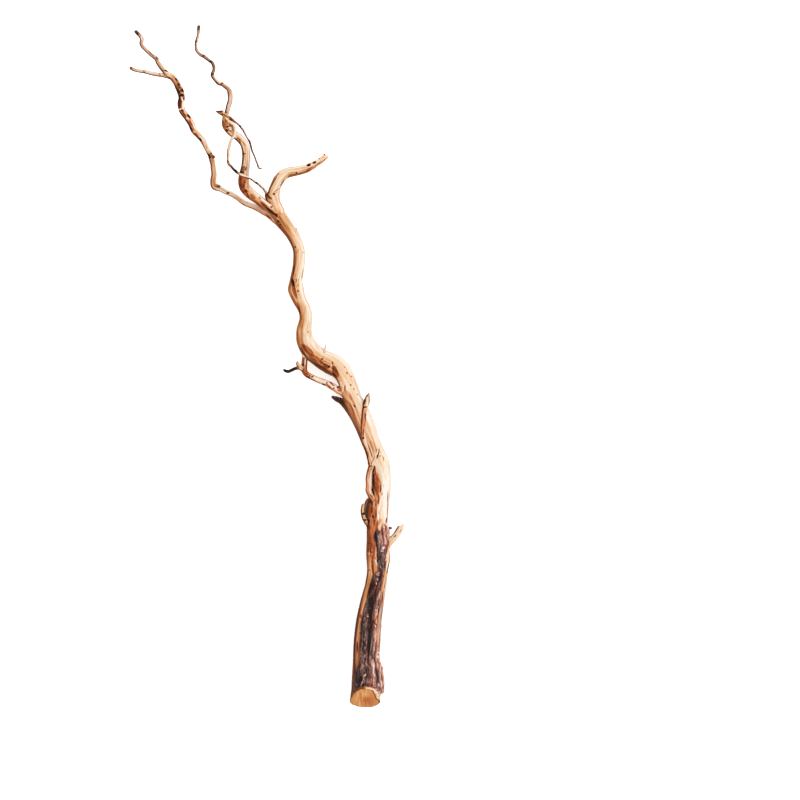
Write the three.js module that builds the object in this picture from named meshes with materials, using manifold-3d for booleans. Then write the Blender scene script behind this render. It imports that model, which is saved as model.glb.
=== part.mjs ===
// A branch of weathered driftwood, sawn off at the butt, lying on the surface that it rests on.
// Millimetres, +Z up. The origin is on that surface, under the middle of the branch's box.
import * as THREE from "three";
import { mergeVertices } from "three/addons/utils/BufferGeometryUtils.js";
import Module from "manifold-3d";

const wasm = await Module();
wasm.setup();

// Driving dimensions
const BUTT_PLACE = new THREE.Vector3(148, -498, 0); // the sawn end's middle, from the origin
const SAW_SLANT = THREE.MathUtils.degToRad(33); // the sawn face leans back from square
const SAW_HEIGHT = 21; // the sawn face crosses the butt's middle at this height
const GAP = 0.3; // left between two limbs at the fork where they part
const BARK_THICKNESS = 2.6;
const BARK_FURROW = 1.3; // depth of the furrows between the bark's plates
const BARK_FURROWS = 9; // round the whole trunk
const BARK_FLANK = 13; // the bark has worn away below this height
const BLUNTNESS = 0.7; // how much of its section a limb loses at its rounded tip

// Lobes round every limb's section: [lobes, share of the radius, turn in radians per millimetre, start].
const LOBES = [
  [2, 0.05, 0.009, 0.4],
  [3, 0.045, -0.016, 1.9],
  [5, 0.022, 0.027, 0.7],
];

// Routes run from root to tip. Each point is [across, along, height, radius], where across and along are measured
// from the middle of the sawn end, and height from the surface.
const TRUNK = [
  [-1, -36, 19.8, 21.3],
  [0, -3, 19.7, 21.5],
  [3, 20, 20.8, 22.4],
  [3, 42, 19.8, 20.8],
  [2, 65, 19.2, 18.8],
  [3, 87, 20, 18.4],
  [5, 114, 20.6, 17.9],
  [10, 141, 20.4, 17.3],
  [16, 168, 19.4, 15.7],
  [19, 192, 18.6, 15.2],
  [20, 215, 18.8, 16.6],
  [20, 237, 17.8, 16.3],
  [19, 260, 16.6, 15.8],
  [21, 285, 15.6, 15.5],
  [24.5, 309, 13.6, 13.9],
  [26, 330, 12.6, 12.6],
  [21, 354, 15, 15.2],
  [13, 380, 16.5, 15],
  [2, 405, 18.2, 14.7],
  [-10, 432, 19.5, 14.8],
  [-21, 456, 19.5, 13.7],
  [-28, 477, 18.5, 12.9],
  [-37, 494, 17.5, 13.5],
  [-52, 505, 15.8, 13.2],
  [-68, 512, 14.6, 13],
  [-82, 522, 14, 12.6],
  [-90, 536, 14.5, 11.9],
  [-92, 551, 16, 10.4],
  [-89, 569, 18, 8.8],
  [-92, 585, 20, 8.7],
  [-99, 599, 22.5, 9.5],
  [-103, 614, 24, 10.4],
  [-103, 629, 24.5, 8.5],
  [-100, 645, 24, 8],
  [-99, 662, 22.5, 8.2],
  [-101, 678, 21, 8.1],
  [-108, 693, 20.5, 8.5],
  [-117, 707, 21, 9.5],
  [-125, 720, 22, 9.8],
  [-131, 732, 24, 8.6],
];
const LEFT_LIMB = [
  [-107, 697, 20, 6],
  [-121, 708, 18, 6.8],
  [-134, 718, 15.5, 7],
  [-145, 726, 13, 6.4],
  [-155, 731, 10.8, 5.4],
  [-167, 736, 8.8, 4.5],
  [-181, 742, 7.2, 4.3],
  [-193, 751, 5.8, 3.6],
  [-205, 757, 4.8, 3.7],
  [-217, 763, 4, 3.8],
  [-226, 767, 3.9, 4.4],
  [-228, 776, 4.8, 4],
  [-227, 789, 7, 3.6],
  [-228, 802, 10, 3.4],
  [-231, 813, 13, 3.9],
  [-236, 823, 16, 3.2],
  [-242, 834, 19, 3.3],
  [-250, 842, 21, 3.4],
  [-257, 852, 23, 3.2],
  [-262, 861, 24.5, 3.4],
  [-268, 871, 26, 3.8],
  [-274, 880, 27.5, 3.5],
  [-276, 891, 29, 4.2],
  [-276, 901, 30, 3.7],
  [-277, 910, 31, 4.4],
  [-282, 921, 32.5, 4.2],
  [-288, 930, 34, 4.1],
  [-295, 935, 35, 3.5],
  [-303, 943, 36, 2.6],
  [-310, 952, 38, 2.3],
  [-313, 957, 39, 2.4],
  [-321, 965, 41, 2],
  [-330, 974, 42, 1.8],
  [-335, 981, 42, 1.8],
  [-335, 989, 41, 2.1],
  [-339, 994, 40, 1.9],
  [-345, 1000, 39, 1.5],
];
const LEFT_SIDE_TIP = [
  [-292, 932, 34, 3],
  [-303, 934, 32, 2.4],
  [-312, 935, 29, 2.1],
  [-322, 937, 26, 2],
  [-331, 939, 23, 1.8],
  [-340, 940, 21, 1.7],
  [-348, 942, 20, 1.6],
  [-352, 945, 19, 1.5],
];
const MIDDLE_LIMB = [
  [-122, 713, 23, 6.4],
  [-139, 730, 28, 6.6],
  [-151, 739, 33, 6.8],
  [-162, 747, 38, 7],
  [-172, 755, 43, 7.2],
  [-181, 765, 48, 7.2],
  [-184, 775, 52, 6.5],
  [-182, 787, 56, 6.4],
  [-179, 801, 60, 5.8],
  [-178, 814, 62, 5.2],
  [-180, 828, 62, 5.6],
  [-186, 837, 61, 5.7],
  [-194, 844, 59, 5.6],
  [-202, 850, 57, 6.2],
  [-207, 858, 56, 6.8],
  [-209, 867, 55.5, 5.4],
  [-211.5, 874, 56, 3],
  [-216, 878, 57, 3],
  [-223, 880, 58.5, 1.4],
];
const TOP_SHOOT = [
  [-209, 868, 54, 2.8],
  [-207.5, 880, 51, 2.8],
  [-204, 892, 49, 2.9],
  [-203, 901, 47, 2.9],
  [-204, 909, 45, 2.7],
  [-207, 914, 44, 2.6],
  [-213, 918, 43, 2.4],
  [-219, 921, 42, 2.3],
  [-225, 928, 40, 2.1],
  [-228, 934, 39, 2],
  [-227, 941, 39, 1.8],
  [-227, 946, 40, 1.8],
  [-229, 952, 41, 1.8],
  [-233, 955, 42, 1.7],
  [-241, 961, 44, 1.7],
  [-248, 965, 45, 1.7],
  [-253, 972, 45, 1.8],
  [-254, 981, 44, 1.8],
  [-253, 987, 42, 1.8],
  [-250, 996, 40, 1.6],
  [-249, 1003, 38, 1.9],
  [-249, 1009, 37, 1.5],
];
const RIGHT_LIMB = [
  [-128, 727, 23, 8.4],
  [-134, 742, 27, 9],
  [-137, 754, 30, 8.8],
  [-134, 768, 33, 7.6],
  [-127, 780, 36, 8],
  [-117, 787, 38, 7.3],
  [-102, 790, 38, 6.3],
  [-88, 794, 36, 5.6],
  [-78, 799, 33, 4.8],
  [-67, 805, 29, 4.3],
  [-58, 812, 25, 4.2],
];
const CURLING_TWIG = [
  [-141, 752, 26, 1.9],
  [-147, 758, 30, 1.8],
  [-154, 767, 39, 1.6],
  [-162, 773, 48, 1.6],
  [-171, 778, 56, 1.6],
  [-180, 782, 63.5, 1.6],
  [-185, 784, 65.5, 1.7],
  [-190, 787, 61, 1.8],
  [-194, 790, 56, 1.8],
  [-200, 796, 51, 1.8],
  [-205, 801, 48, 1.8],
  [-206, 808, 47, 1.9],
  [-206, 819, 48, 2],
  [-204, 829, 52, 2],
  [-201, 838, 59, 2.1],
  [-197, 843, 64.5, 2.1],
  [-195, 850, 66, 2.1],
  [-197, 857, 65, 2],
  [-202, 860.5, 63, 1.8],
  [-208, 861, 60, 1.6],
];
const HANGING_TWIG = [
  [-211, 875, 57, 2],
  [-202, 867.5, 58, 1.9],
  [-194, 862.5, 56, 1.6],
  [-188, 857, 53, 1.5],
  [-182.5, 849, 49, 1.6],
  [-178, 841, 45, 1.4],
  [-173.5, 833.5, 41, 1.6],
  [-170.5, 823, 37, 1.4],
  [-166, 812, 32, 1.3],
  [-161.5, 801, 27, 1.4],
  [-159, 795, 24, 1.4],
  [-155, 795.5, 23, 1.2],
];
const SIDE_TWIG = [
  [-27, 457, 19, 4.5],
  [-38, 463, 21, 4.2],
  [-48, 469, 21, 4.6],
  [-58, 474, 19, 3.6],
  [-70, 478, 17, 3.3],
  [-81, 482, 15, 3],
  [-88, 487, 13.5, 3.3],
  [-92, 493, 13, 3.1],
  [-92, 502, 13, 3.4],
  [-91, 510, 13.5, 2.8],
];
const CLIMBING_STEM = [
  [21, 283, 26, 3.4],
  [17, 292, 27.5, 4],
  [11, 300, 27, 4.2],
  [6, 309, 24, 4],
  [4, 319, 21.5, 4.2],
  [4, 331, 20.5, 4.4],
  [6, 342, 22, 4.2],
  [9, 350, 25, 4],
  [7, 360, 26.5, 3.4],
  [3, 373, 27.5, 3],
  [-1, 385, 28.5, 3],
  [-3, 397, 30.5, 3.1],
  [-3, 411, 33, 3.2],
  [-2, 424, 33.5, 3.2],
  [0, 434, 32, 3.2],
  [1, 443, 31.5, 4],
  [4, 451, 32, 2.6],
  [7, 458, 33, 1.4],
];

// Short broken stubs and thorns, each fused to the limb that it grew from.
const TRUNK_STUBS = [
  [[27, 226, 19, 5], [38, 235, 21, 4], [46, 243, 22, 3.5], [51, 250, 23, 3.3], [55, 258, 24, 3]],
  [[9, 256, 18, 3.2], [2, 265, 19, 2.8], [-2, 274, 20, 2.4], [-3, 282, 20.5, 2.2], [-2, 291, 21, 1.8]],
  [[29, 252, 22, 3], [36, 255, 23, 2.2], [40, 256, 23.5, 1.4]],
  [[-62, 514, 23, 2.4], [-60, 523, 26.5, 1.6], [-58, 531, 29, 0.9]],
  [
    [0, 378, 12, 6],
    [-10, 402, 11, 6],
    [-19, 420, 11, 5.8],
    [-28, 435, 11, 5.4],
    [-36, 445, 11.5, 4.6],
    [-43, 449, 12, 3.6],
    [-50, 452.5, 12.5, 1.8],
  ],
];
const LEFT_LIMB_STUBS = [
  [[-225, 769, 5, 2.8], [-217, 768, 8, 1.5]],
  [[-232, 813, 13, 3.2], [-225, 812, 16, 1.4]],
];
const RIGHT_LIMB_STUBS = [[[-63, 807, 27, 3], [-60, 817, 27.5, 1]]];
const SIDE_TWIG_STUBS = [
  [[-91, 491, 13.5, 2.4], [-98, 495, 16, 2], [-105, 493, 17, 1.6], [-115, 490, 15, 1.6], [-122, 492, 13, 1.2]],
  [[-92, 497, 14, 2.2], [-97, 502, 16, 1.2]],
];
const CLIMBING_STEM_STUBS = [[[9, 346, 25, 2.8], [14, 356, 28.5, 2.4], [18, 364, 30.5, 2.1], [21, 373, 32, 1.4]]];

// Knots and hollows on the trunk's upper side: [across, along, reach, rise]. A hollow's rise is below zero.
const TRUNK_KNOTS = [
  [-110, 621, 6, -3.2],
  [-36, 467, 6, 2.4],
  [-62, 506, 7, -1.6],
  [24, 50, 9, 2.2],
  [30, 252, 5, 2.4],
  [-8, 30, 8, 2],
  [8, 278, 7, -2],
  [22, 316, 8, -1.8],
  [-86, 549, 6, 1.4],
  [-96, 606, 7, 1.6],
];

// The ragged edge of the bark that is left, seen from above, as [across, along].
const BARK_OUTLINE = [
  [20, 253], [15, 248], [17, 238], [18, 218], [17, 205], [19, 192],
  [11, 184], [5, 163], [3, 148], [-3, 132], [-6, 115], [-7, 96],
  [-8, 78], [-7, 60], [-13, 40], [-17, 14], [-17, -24], [30, -24],
  [30, 14], [31, 30], [25, 46], [19, 58], [18, 76], [16, 96],
  [19, 118], [23, 140], [24, 166], [29, 188], [32, 208], [34, 228],
  [33, 248], [29, 260], [24, 258],
];
const BARK_ROUTE_POINTS = 16; // the trunk's points that the bark reaches past
const BARK_WANDER = [
  // [share of a furrow, millimetres for a radian]
  [0.5, 17],
  [0.3, 7],
];

// How fine each kind of limb is: sides round its section, and the millimetres from ring to ring.
const TRUNK_FORM = { sides: 20, step: 12.5, knots: TRUNK_KNOTS, roundRoot: false };
const BARK_FORM = { sides: 30, step: 9, knots: TRUNK_KNOTS, roundRoot: false };
const LIMB_FORM = { sides: 12, step: 9 };
const TWIG_FORM = { sides: 8, step: 7 };
const FINE_FORM = { sides: 6, step: 8 };
const STUB_FORM = { sides: 7, step: 8 };

const WOOD = { color: 0xd9a878, roughness: 0.62, metalness: 0 };
const SHADED_WOOD = { color: 0xb8753f, roughness: 0.66, metalness: 0 };
const TWIG_WOOD = { color: 0x8a5238, roughness: 0.7, metalness: 0 };
const BARK = { color: 0x4a3a3c, roughness: 0.9, metalness: 0 };

const UP = new THREE.Vector3(0, 0, 1);
const ROOM = 2400; // wider than the branch is long
const SAW_BLOCK = 160;

// A closed three.js geometry as a solid that can be joined and cut.
function solidOf(geometry) {
  geometry.deleteAttribute("normal");
  geometry.deleteAttribute("uv");
  const merged = mergeVertices(geometry, 1e-4);
  return new wasm.Manifold(
    new wasm.Mesh({
      numProp: 3,
      vertProperties: merged.attributes.position.array,
      triVerts: new Uint32Array(merged.index.array),
    }),
  );
}

function lobed(angle, distance) {
  return LOBES.reduce(
    (sum, [count, share, turn, start]) => sum + share * Math.cos(count * angle + turn * distance + start),
    1,
  );
}

// How far the knots and hollows lift a point whose ray out of the limb climbs by this much.
function knotRise(point, climb, knots) {
  return knots.reduce((sum, [across, along, reach, rise]) => {
    const away = Math.hypot(point.x - across, point.y - along) / reach;
    return sum + rise * Math.exp(-away * away) * Math.max(0, climb);
  }, 0);
}

// A limb: a cylinder's vertices carried along the route, with lobed sections and rounded ends. The angle round the
// section is 0 on the right, seen from root to tip, and a quarter turn on top. skin adds to the radius.
function limb(route, { sides, step, knots = [], skin = () => 0, roundRoot = true }) {
  const middles = route.map(([across, along, height]) => new THREE.Vector3(across, along, height));
  const line = new THREE.CatmullRomCurve3(middles, false, "catmullrom");
  const radii = new THREE.SplineCurve(route.map(([, , , radius], i) => new THREE.Vector2(radius, i)));
  const length = line.getLength();
  const shape = new THREE.CylinderGeometry(1, 1, 1, sides, Math.ceil(length / step));
  const corners = shape.attributes.position;
  const corner = new THREE.Vector3();
  for (let i = 0; i < corners.count; i++) {
    corner.fromBufferAttribute(corners, i);
    const share = corner.y + 0.5;
    const distance = share * length;
    const angle = Math.atan2(corner.z, corner.x);
    const forward = line.getTangentAt(share);
    const side = new THREE.Vector3().crossVectors(forward, UP).normalize();
    const top = new THREE.Vector3().crossVectors(side, forward);
    const ray = side.multiplyScalar(Math.cos(angle)).addScaledVector(top, Math.sin(angle));
    const radius = radii.getPoint(line.getUtoTmapping(share)).x;
    const toEnd = Math.min(roundRoot ? distance : Infinity, length - distance) / radius;
    const rounding = Math.sqrt(1 - BLUNTNESS * Math.max(0, 1 - toEnd) ** 2);
    const outward = Math.min(1, Math.hypot(corner.x, corner.z));
    const place = line.getPointAt(share).addScaledVector(ray, outward * radius * lobed(angle, distance) * rounding);
    place.addScaledVector(ray, outward * (knotRise(place, ray.z, knots) + skin(angle, distance)));
    corners.setXYZ(i, place.x, place.y, place.z);
  }
  return solidOf(shape);
}

// A box as a solid, with its middle at a place and turned about X.
function block(size, place, turn = 0) {
  const shape = new THREE.BoxGeometry(...size);
  shape.rotateX(turn);
  shape.translate(...place);
  return solidOf(shape);
}

const largest = (solid) => solid.decompose().reduce((a, b) => (b.volume() > a.volume() ? b : a));
const cutBy = (piece, ...neighbours) => largest(neighbours.reduce((rest, next) => rest.subtract(next), piece));
const withStubs = (piece, routes, form = STUB_FORM) =>
  routes.reduce((whole, route) => whole.add(limb(route, form)), piece);

// The same form with the gap round it, for the space that a limb fills.
const roomy = (form) => ({ ...form, skin: () => GAP });
const roomFor = (route, form) => limb(route, roomy(form));

function furrowed(angle, distance) {
  const wander = BARK_WANDER.reduce((sum, [share, span]) => sum + share * Math.sin(distance / span), 0);
  return BARK_THICKNESS - BARK_FURROW * Math.abs(Math.sin((BARK_FURROWS / 2) * angle + wander));
}

function barkSolid() {
  const outline = new THREE.Shape(BARK_OUTLINE.map(([across, along]) => new THREE.Vector2(across, along)));
  const prism = new THREE.ExtrudeGeometry(outline, { depth: SAW_BLOCK, bevelEnabled: false });
  prism.translate(0, 0, BARK_FLANK);
  const outside = limb(TRUNK.slice(0, BARK_ROUTE_POINTS), { ...BARK_FORM, skin: furrowed });
  return cutBy(outside.intersect(solidOf(prism)), trunkRoom, sawnOff);
}

const surface = block([ROOM, ROOM, ROOM], [0, 0, -ROOM / 2]);
const sawnOff = block(
  [SAW_BLOCK, SAW_BLOCK, SAW_BLOCK],
  [0, (-SAW_BLOCK / 2) * Math.cos(SAW_SLANT), SAW_HEIGHT + (SAW_BLOCK / 2) * Math.sin(SAW_SLANT)],
  -SAW_SLANT,
);

const trunk = withStubs(limb(TRUNK, TRUNK_FORM), TRUNK_STUBS);
const trunkRoom = withStubs(roomFor(TRUNK, TRUNK_FORM), TRUNK_STUBS, roomy(STUB_FORM));
const rightRoom = roomFor(RIGHT_LIMB, LIMB_FORM);
const middleRoom = roomFor(MIDDLE_LIMB, LIMB_FORM);
const shootRoom = roomFor(TOP_SHOOT, TWIG_FORM);
const curlRoom = roomFor(CURLING_TWIG, TWIG_FORM);
const leftLimb = withStubs(limb(LEFT_LIMB, TWIG_FORM), LEFT_LIMB_STUBS).add(limb(LEFT_SIDE_TIP, FINE_FORM));
const rightLimb = withStubs(limb(RIGHT_LIMB, LIMB_FORM), RIGHT_LIMB_STUBS);
const sideTwig = withStubs(limb(SIDE_TWIG, TWIG_FORM), SIDE_TWIG_STUBS);
const climbingStem = withStubs(limb(CLIMBING_STEM, TWIG_FORM), CLIMBING_STEM_STUBS);

const PIECES = {
  trunk: [cutBy(trunk, sawnOff, surface), WOOD],
  bark: [barkSolid(), BARK],
  right_limb: [cutBy(rightLimb, trunkRoom), WOOD],
  middle_limb: [cutBy(limb(MIDDLE_LIMB, LIMB_FORM), trunkRoom, rightRoom), SHADED_WOOD],
  left_limb: [cutBy(leftLimb, trunkRoom, rightRoom, middleRoom, surface), SHADED_WOOD],
  top_shoot: [cutBy(limb(TOP_SHOOT, TWIG_FORM), middleRoom), TWIG_WOOD],
  curling_twig: [cutBy(limb(CURLING_TWIG, TWIG_FORM), middleRoom, rightRoom, trunkRoom), TWIG_WOOD],
  hanging_twig: [cutBy(limb(HANGING_TWIG, FINE_FORM), middleRoom, shootRoom, curlRoom), TWIG_WOOD],
  side_twig: [cutBy(sideTwig, trunkRoom), SHADED_WOOD],
  climbing_stem: [cutBy(climbingStem, trunkRoom), SHADED_WOOD],
};

const driftwood = new THREE.Group();
driftwood.position.copy(BUTT_PLACE);
for (const [name, [solid, look]] of Object.entries(PIECES)) {
  const { vertProperties, triVerts } = solid.getMesh();
  const geometry = new THREE.BufferGeometry();
  geometry.setAttribute("position", new THREE.BufferAttribute(vertProperties, 3));
  geometry.setIndex(new THREE.BufferAttribute(triVerts, 1));
  geometry.computeVertexNormals();
  const mesh = new THREE.Mesh(geometry, new THREE.MeshStandardMaterial(look));
  mesh.name = name;
  driftwood.add(mesh);
}

export default driftwood;
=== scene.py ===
# %% [markdown]
# A branch of driftwood, made as a lesson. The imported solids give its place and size; this script gives it
# its look. The real thing is one piece of wood that the sea has peeled and polished: a sawn butt, a strip
# of bark that held on, a trunk with long flutes, and limbs that thin out to dark, brittle twigs. Every
# limb here is one numpy surface: a lobed section carried along a route, with relief added along its rays.

import math

import bpy
import numpy as np
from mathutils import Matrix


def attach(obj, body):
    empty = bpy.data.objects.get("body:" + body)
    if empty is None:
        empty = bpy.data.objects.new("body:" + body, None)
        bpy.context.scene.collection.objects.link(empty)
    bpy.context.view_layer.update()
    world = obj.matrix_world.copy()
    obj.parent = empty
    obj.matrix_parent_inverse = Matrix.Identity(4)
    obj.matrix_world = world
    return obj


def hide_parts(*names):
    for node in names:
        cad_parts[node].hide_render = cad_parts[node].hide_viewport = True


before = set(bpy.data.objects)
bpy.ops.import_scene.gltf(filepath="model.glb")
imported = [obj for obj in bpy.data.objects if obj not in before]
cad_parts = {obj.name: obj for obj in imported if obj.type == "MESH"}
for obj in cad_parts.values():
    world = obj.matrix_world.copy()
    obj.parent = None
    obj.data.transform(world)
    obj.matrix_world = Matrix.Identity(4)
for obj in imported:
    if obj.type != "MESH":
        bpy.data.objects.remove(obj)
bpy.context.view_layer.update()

# %% [markdown]
# A route is the line that a limb grew along. Each point is [across, along, height, radius] in
# millimetres: across and along are measured from the middle of the sawn end, height from the surface that
# the branch lies on. The solids follow such points too; a few of these are a millimetre or two off
# theirs, where a limb's edge in the photograph asks for it.

# %% The trunk's route, from the butt to the fork
BUTT = np.array([148.0, -498.0, 0.0])  # middle of the sawn end, in millimetres from the frame's origin
TRUNK = [
    [-1, -36, 19.8, 21.3], [0, -3, 19.7, 21.5], [3, 20, 20.8, 22.4], [2.4, 42, 19.8, 21],
    [1.3, 65, 19.2, 19.2], [2.5, 87, 20, 18.7], [5, 114, 20.6, 17.9], [10, 141, 20.4, 17.3],
    [16, 168, 19.4, 15.7], [19, 192, 18.6, 15.2], [20, 215, 18.8, 16.6], [20, 237, 17.8, 16.3],
    [19, 260, 16.6, 15.8], [21, 285, 15.6, 15.5], [24.5, 309, 13.6, 13.9], [26, 330, 12.6, 12.6],
    [21, 354, 15, 15.2], [13, 380, 16.5, 15], [2, 405, 18.2, 14.7], [-10, 432, 19.5, 14.8],
    [-21, 456, 19.5, 13.7], [-28, 477, 18.5, 12.9], [-37, 494, 17.5, 13.5], [-52, 505, 15.8, 13.2],
    [-68, 512, 14.6, 13], [-82, 522, 14, 12.6], [-89.4, 536, 14.5, 11.9], [-91.2, 551, 16, 10.4],
    [-88.4, 569, 18, 8.8], [-91.3, 585, 20, 8.7], [-98.5, 599, 22.5, 9.5], [-103, 614, 24, 10.8],
    [-102.6, 629, 24.5, 8.7], [-99.4, 645, 24, 8.1], [-98.3, 662, 22.5, 8.3], [-100.4, 678, 21, 8.1],
    [-107.6, 693.3, 20.5, 8.3], [-117, 707, 21, 9.2], [-125.6, 720, 22, 9.3], [-132, 732, 24, 8],
]
print("points on the trunk", len(TRUNK))

# %% Routes of the three limbs above the fork
LEFT_LIMB = [
    [-107, 697, 20, 6], [-121, 708.5, 18, 6.6], [-134, 719, 15.5, 6.6], [-145, 727, 13, 5.9],
    [-155, 731.5, 10.8, 4.9], [-167, 737, 8.8, 4.2], [-181, 742.8, 7.2, 4], [-193, 751.7, 5.8, 3.6],
    [-205, 758, 4.8, 3.6], [-217, 763.3, 4, 3.7], [-226, 767.5, 3.9, 4.3], [-227.8, 776, 4.8, 4],
    [-227.2, 789, 7, 3.7], [-228.7, 802, 10, 3.6], [-232, 813, 13, 3.9], [-236.4, 823, 16, 3.6],
    [-241.9, 834, 19, 4.25], [-248.5, 842, 21, 4.25], [-256.5, 852, 23, 4.8], [-260.3, 861, 24.5, 5.2],
    [-266.6, 871, 26, 5.6], [-273.2, 880, 27.5, 5.1], [-275.5, 891, 29, 5.55], [-275, 901, 30, 4.95],
    [-276.6, 910, 31, 5.55], [-281.3, 921, 32.5, 5.15], [-287.6, 930, 34, 5.05],
    [-294.8, 935.5, 35, 4.35], [-302.6, 943.3, 36, 3.45], [-309.5, 952.2, 38, 3.15],
    [-312, 957.5, 39, 3.45], [-320.8, 965, 41, 2.85], [-330.4, 973.6, 42, 2.65], [-335.4, 981, 42, 2.75],
    [-334.7, 989, 41, 3.15], [-339, 994.5, 40, 2.75], [-345.4, 1000.2, 39, 2.35],
]
LEFT_SIDE_TIP = [
    [-292, 932, 34, 3.5], [-303, 934, 32, 3], [-312, 935.3, 29, 2.8], [-322, 937.3, 26, 2.7],
    [-331, 939.5, 23, 2.5], [-340, 940.8, 21, 2.4], [-348, 943, 20, 2.3], [-352.5, 946, 19, 2.2],
]
MIDDLE_LIMB = [
    [-122, 713, 23, 6], [-138.4, 731, 28, 6.4], [-150.2, 740, 33, 6.6], [-161, 748.4, 38, 6.9],
    [-171, 756, 43, 7.4], [-179.8, 765.5, 48, 7.9], [-182.3, 776, 52, 7.8], [-181.3, 787, 56, 7.1],
    [-178.8, 801, 60, 6.3], [-178, 814, 62, 6.2], [-180, 828, 62, 6.3], [-186, 837, 61, 6.2],
    [-194, 844, 59, 5.9], [-202, 850, 57, 6.2], [-207, 858, 56, 7.1], [-209, 867, 55.5, 5.8],
    [-211.5, 874, 56, 3], [-216, 878, 57, 3], [-223, 880, 58.5, 1.4],
]
RIGHT_LIMB = [
    [-129.5, 727, 23, 7.8], [-135.3, 742, 27, 8.1], [-137, 754, 30, 8.6], [-134, 768, 33, 7.7],
    [-127, 780.6, 36, 8], [-117, 788, 38, 7.3], [-102, 791, 38, 7], [-88, 794.5, 36, 6.2],
    [-78, 799.3, 33, 5.2], [-67, 806, 29, 4.6], [-58.6, 813, 25, 4.4],
]
print("points on the limbs", len(LEFT_LIMB), len(LEFT_SIDE_TIP), len(MIDDLE_LIMB), len(RIGHT_LIMB))

# %% Routes of the twigs and the climbing stem
TOP_SHOOT = [
    [-209, 868, 54, 3.05], [-207, 880, 51, 3.35], [-203.3, 892, 49, 3.65], [-202.3, 901, 47, 3.65],
    [-203.2, 909, 45, 3.55], [-206.3, 914.6, 44, 3.25], [-212.5, 919, 43, 3.05], [-218.5, 922, 42, 2.85],
    [-225, 928, 40, 2.55], [-228.6, 934, 39, 2.55], [-227, 941, 39, 2.25], [-226.6, 946, 40, 2.35],
    [-228.5, 952, 41, 2.45], [-232.6, 955.4, 42, 2.25], [-241, 961.5, 44, 2.65], [-248, 965.2, 45, 2.15],
    [-252.7, 972, 45, 2.35], [-253.3, 981, 44, 2.25], [-252.4, 987, 42, 2.25], [-250, 996, 40, 2.05],
    [-249, 1003, 38, 2.65], [-249, 1009, 37, 2.25],
]
CURLING_TWIG = [
    [-141, 752, 26, 1.9], [-147.5, 757.3, 30, 1.8], [-154.7, 766.2, 39, 1.6], [-162.3, 772.4, 48, 1.6],
    [-171, 779, 56, 1.8], [-180, 782.5, 63.5, 1.8], [-185, 784.5, 65.5, 1.9], [-190, 787.4, 61, 1.9],
    [-194, 790.4, 56, 1.9], [-199.6, 796.4, 51, 1.8], [-204.6, 801.4, 48, 1.9], [-205.2, 808, 47, 2],
    [-205, 819, 48, 2.1], [-203, 829, 52, 2.1], [-200.4, 838, 59, 2.2], [-196.6, 843, 64.5, 2.2],
    [-194.8, 850, 66, 2.3], [-196.2, 857.8, 65, 2.5], [-200.6, 862.4, 63, 2.4], [-206, 865.5, 60, 2],
]
HANGING_TWIG = [
    [-211, 876, 57, 2.6], [-201.5, 868.4, 58, 3], [-193.2, 863.3, 56, 1.8], [-187.2, 857.8, 53, 1.6],
    [-181.5, 849.6, 49, 1.7], [-177.2, 841.3, 45, 1.4], [-172.6, 834.2, 41, 1.8], [-170, 823.2, 37, 1.6],
    [-165.8, 812.2, 32, 1.4], [-161.5, 801, 27, 1.5], [-159.2, 795.4, 24, 1.7], [-155, 795.3, 23, 1.4],
]
SIDE_TWIG = [
    [-27, 455.8, 19, 4.8], [-38.2, 460.8, 21, 4.5], [-48.2, 466.8, 21, 4.9], [-58, 472.5, 19, 4.3],
    [-70, 477.3, 17, 4.2], [-81, 482.1, 15, 4.2], [-88, 487, 13.5, 3.3], [-92, 493, 13, 3.1],
    [-92, 502, 13, 3.4], [-91, 510, 13.5, 2.8],
]
CLIMBING_STEM = [
    [21, 283, 26, 3.4], [17, 292, 27.5, 4], [11.5, 300, 27, 4.2], [7.5, 309, 24, 4],
    [5.6, 319, 21.5, 4.2], [5.6, 331, 20.5, 4.4], [7.5, 342, 22, 4.2], [9.5, 350, 25, 4],
    [7, 360, 26.5, 3.4], [3, 373, 27.5, 3], [-1, 385, 28.5, 3], [-3, 397, 30.5, 3.1], [-3, 411, 33, 3.2],
    [-2, 424, 33.5, 3.2], [-0.4, 434, 32, 3.8], [1.7, 443, 31.5, 5], [3.8, 451, 32, 3.6],
    [5.8, 458.4, 33, 1.4],
]
ROUTES = {
    "trunk": TRUNK, "left_limb": LEFT_LIMB, "left_side_tip": LEFT_SIDE_TIP, "middle_limb": MIDDLE_LIMB,
    "right_limb": RIGHT_LIMB, "top_shoot": TOP_SHOOT, "curling_twig": CURLING_TWIG,
    "hanging_twig": HANGING_TWIG, "side_twig": SIDE_TWIG, "climbing_stem": CLIMBING_STEM,
}
print("routes", len(ROUTES))

# %% [markdown]
# A smooth line through given points could be a Blender curve, but a curve's samples bunch up in its
# bends. Cubics worked out in numpy are as short, are the line that the solids follow, and are measured in
# millimetres from the root, so that grain and pits keep their size all the way up.

# %% Smooth lines
SPAN_SAMPLES = 24  # between two points of a route
UP = np.array([0.0, 0.0, 1.0])


def unit(vectors):
    """Vectors divided by their lengths."""
    return vectors / np.linalg.norm(vectors, axis=-1, keepdims=True)


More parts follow.
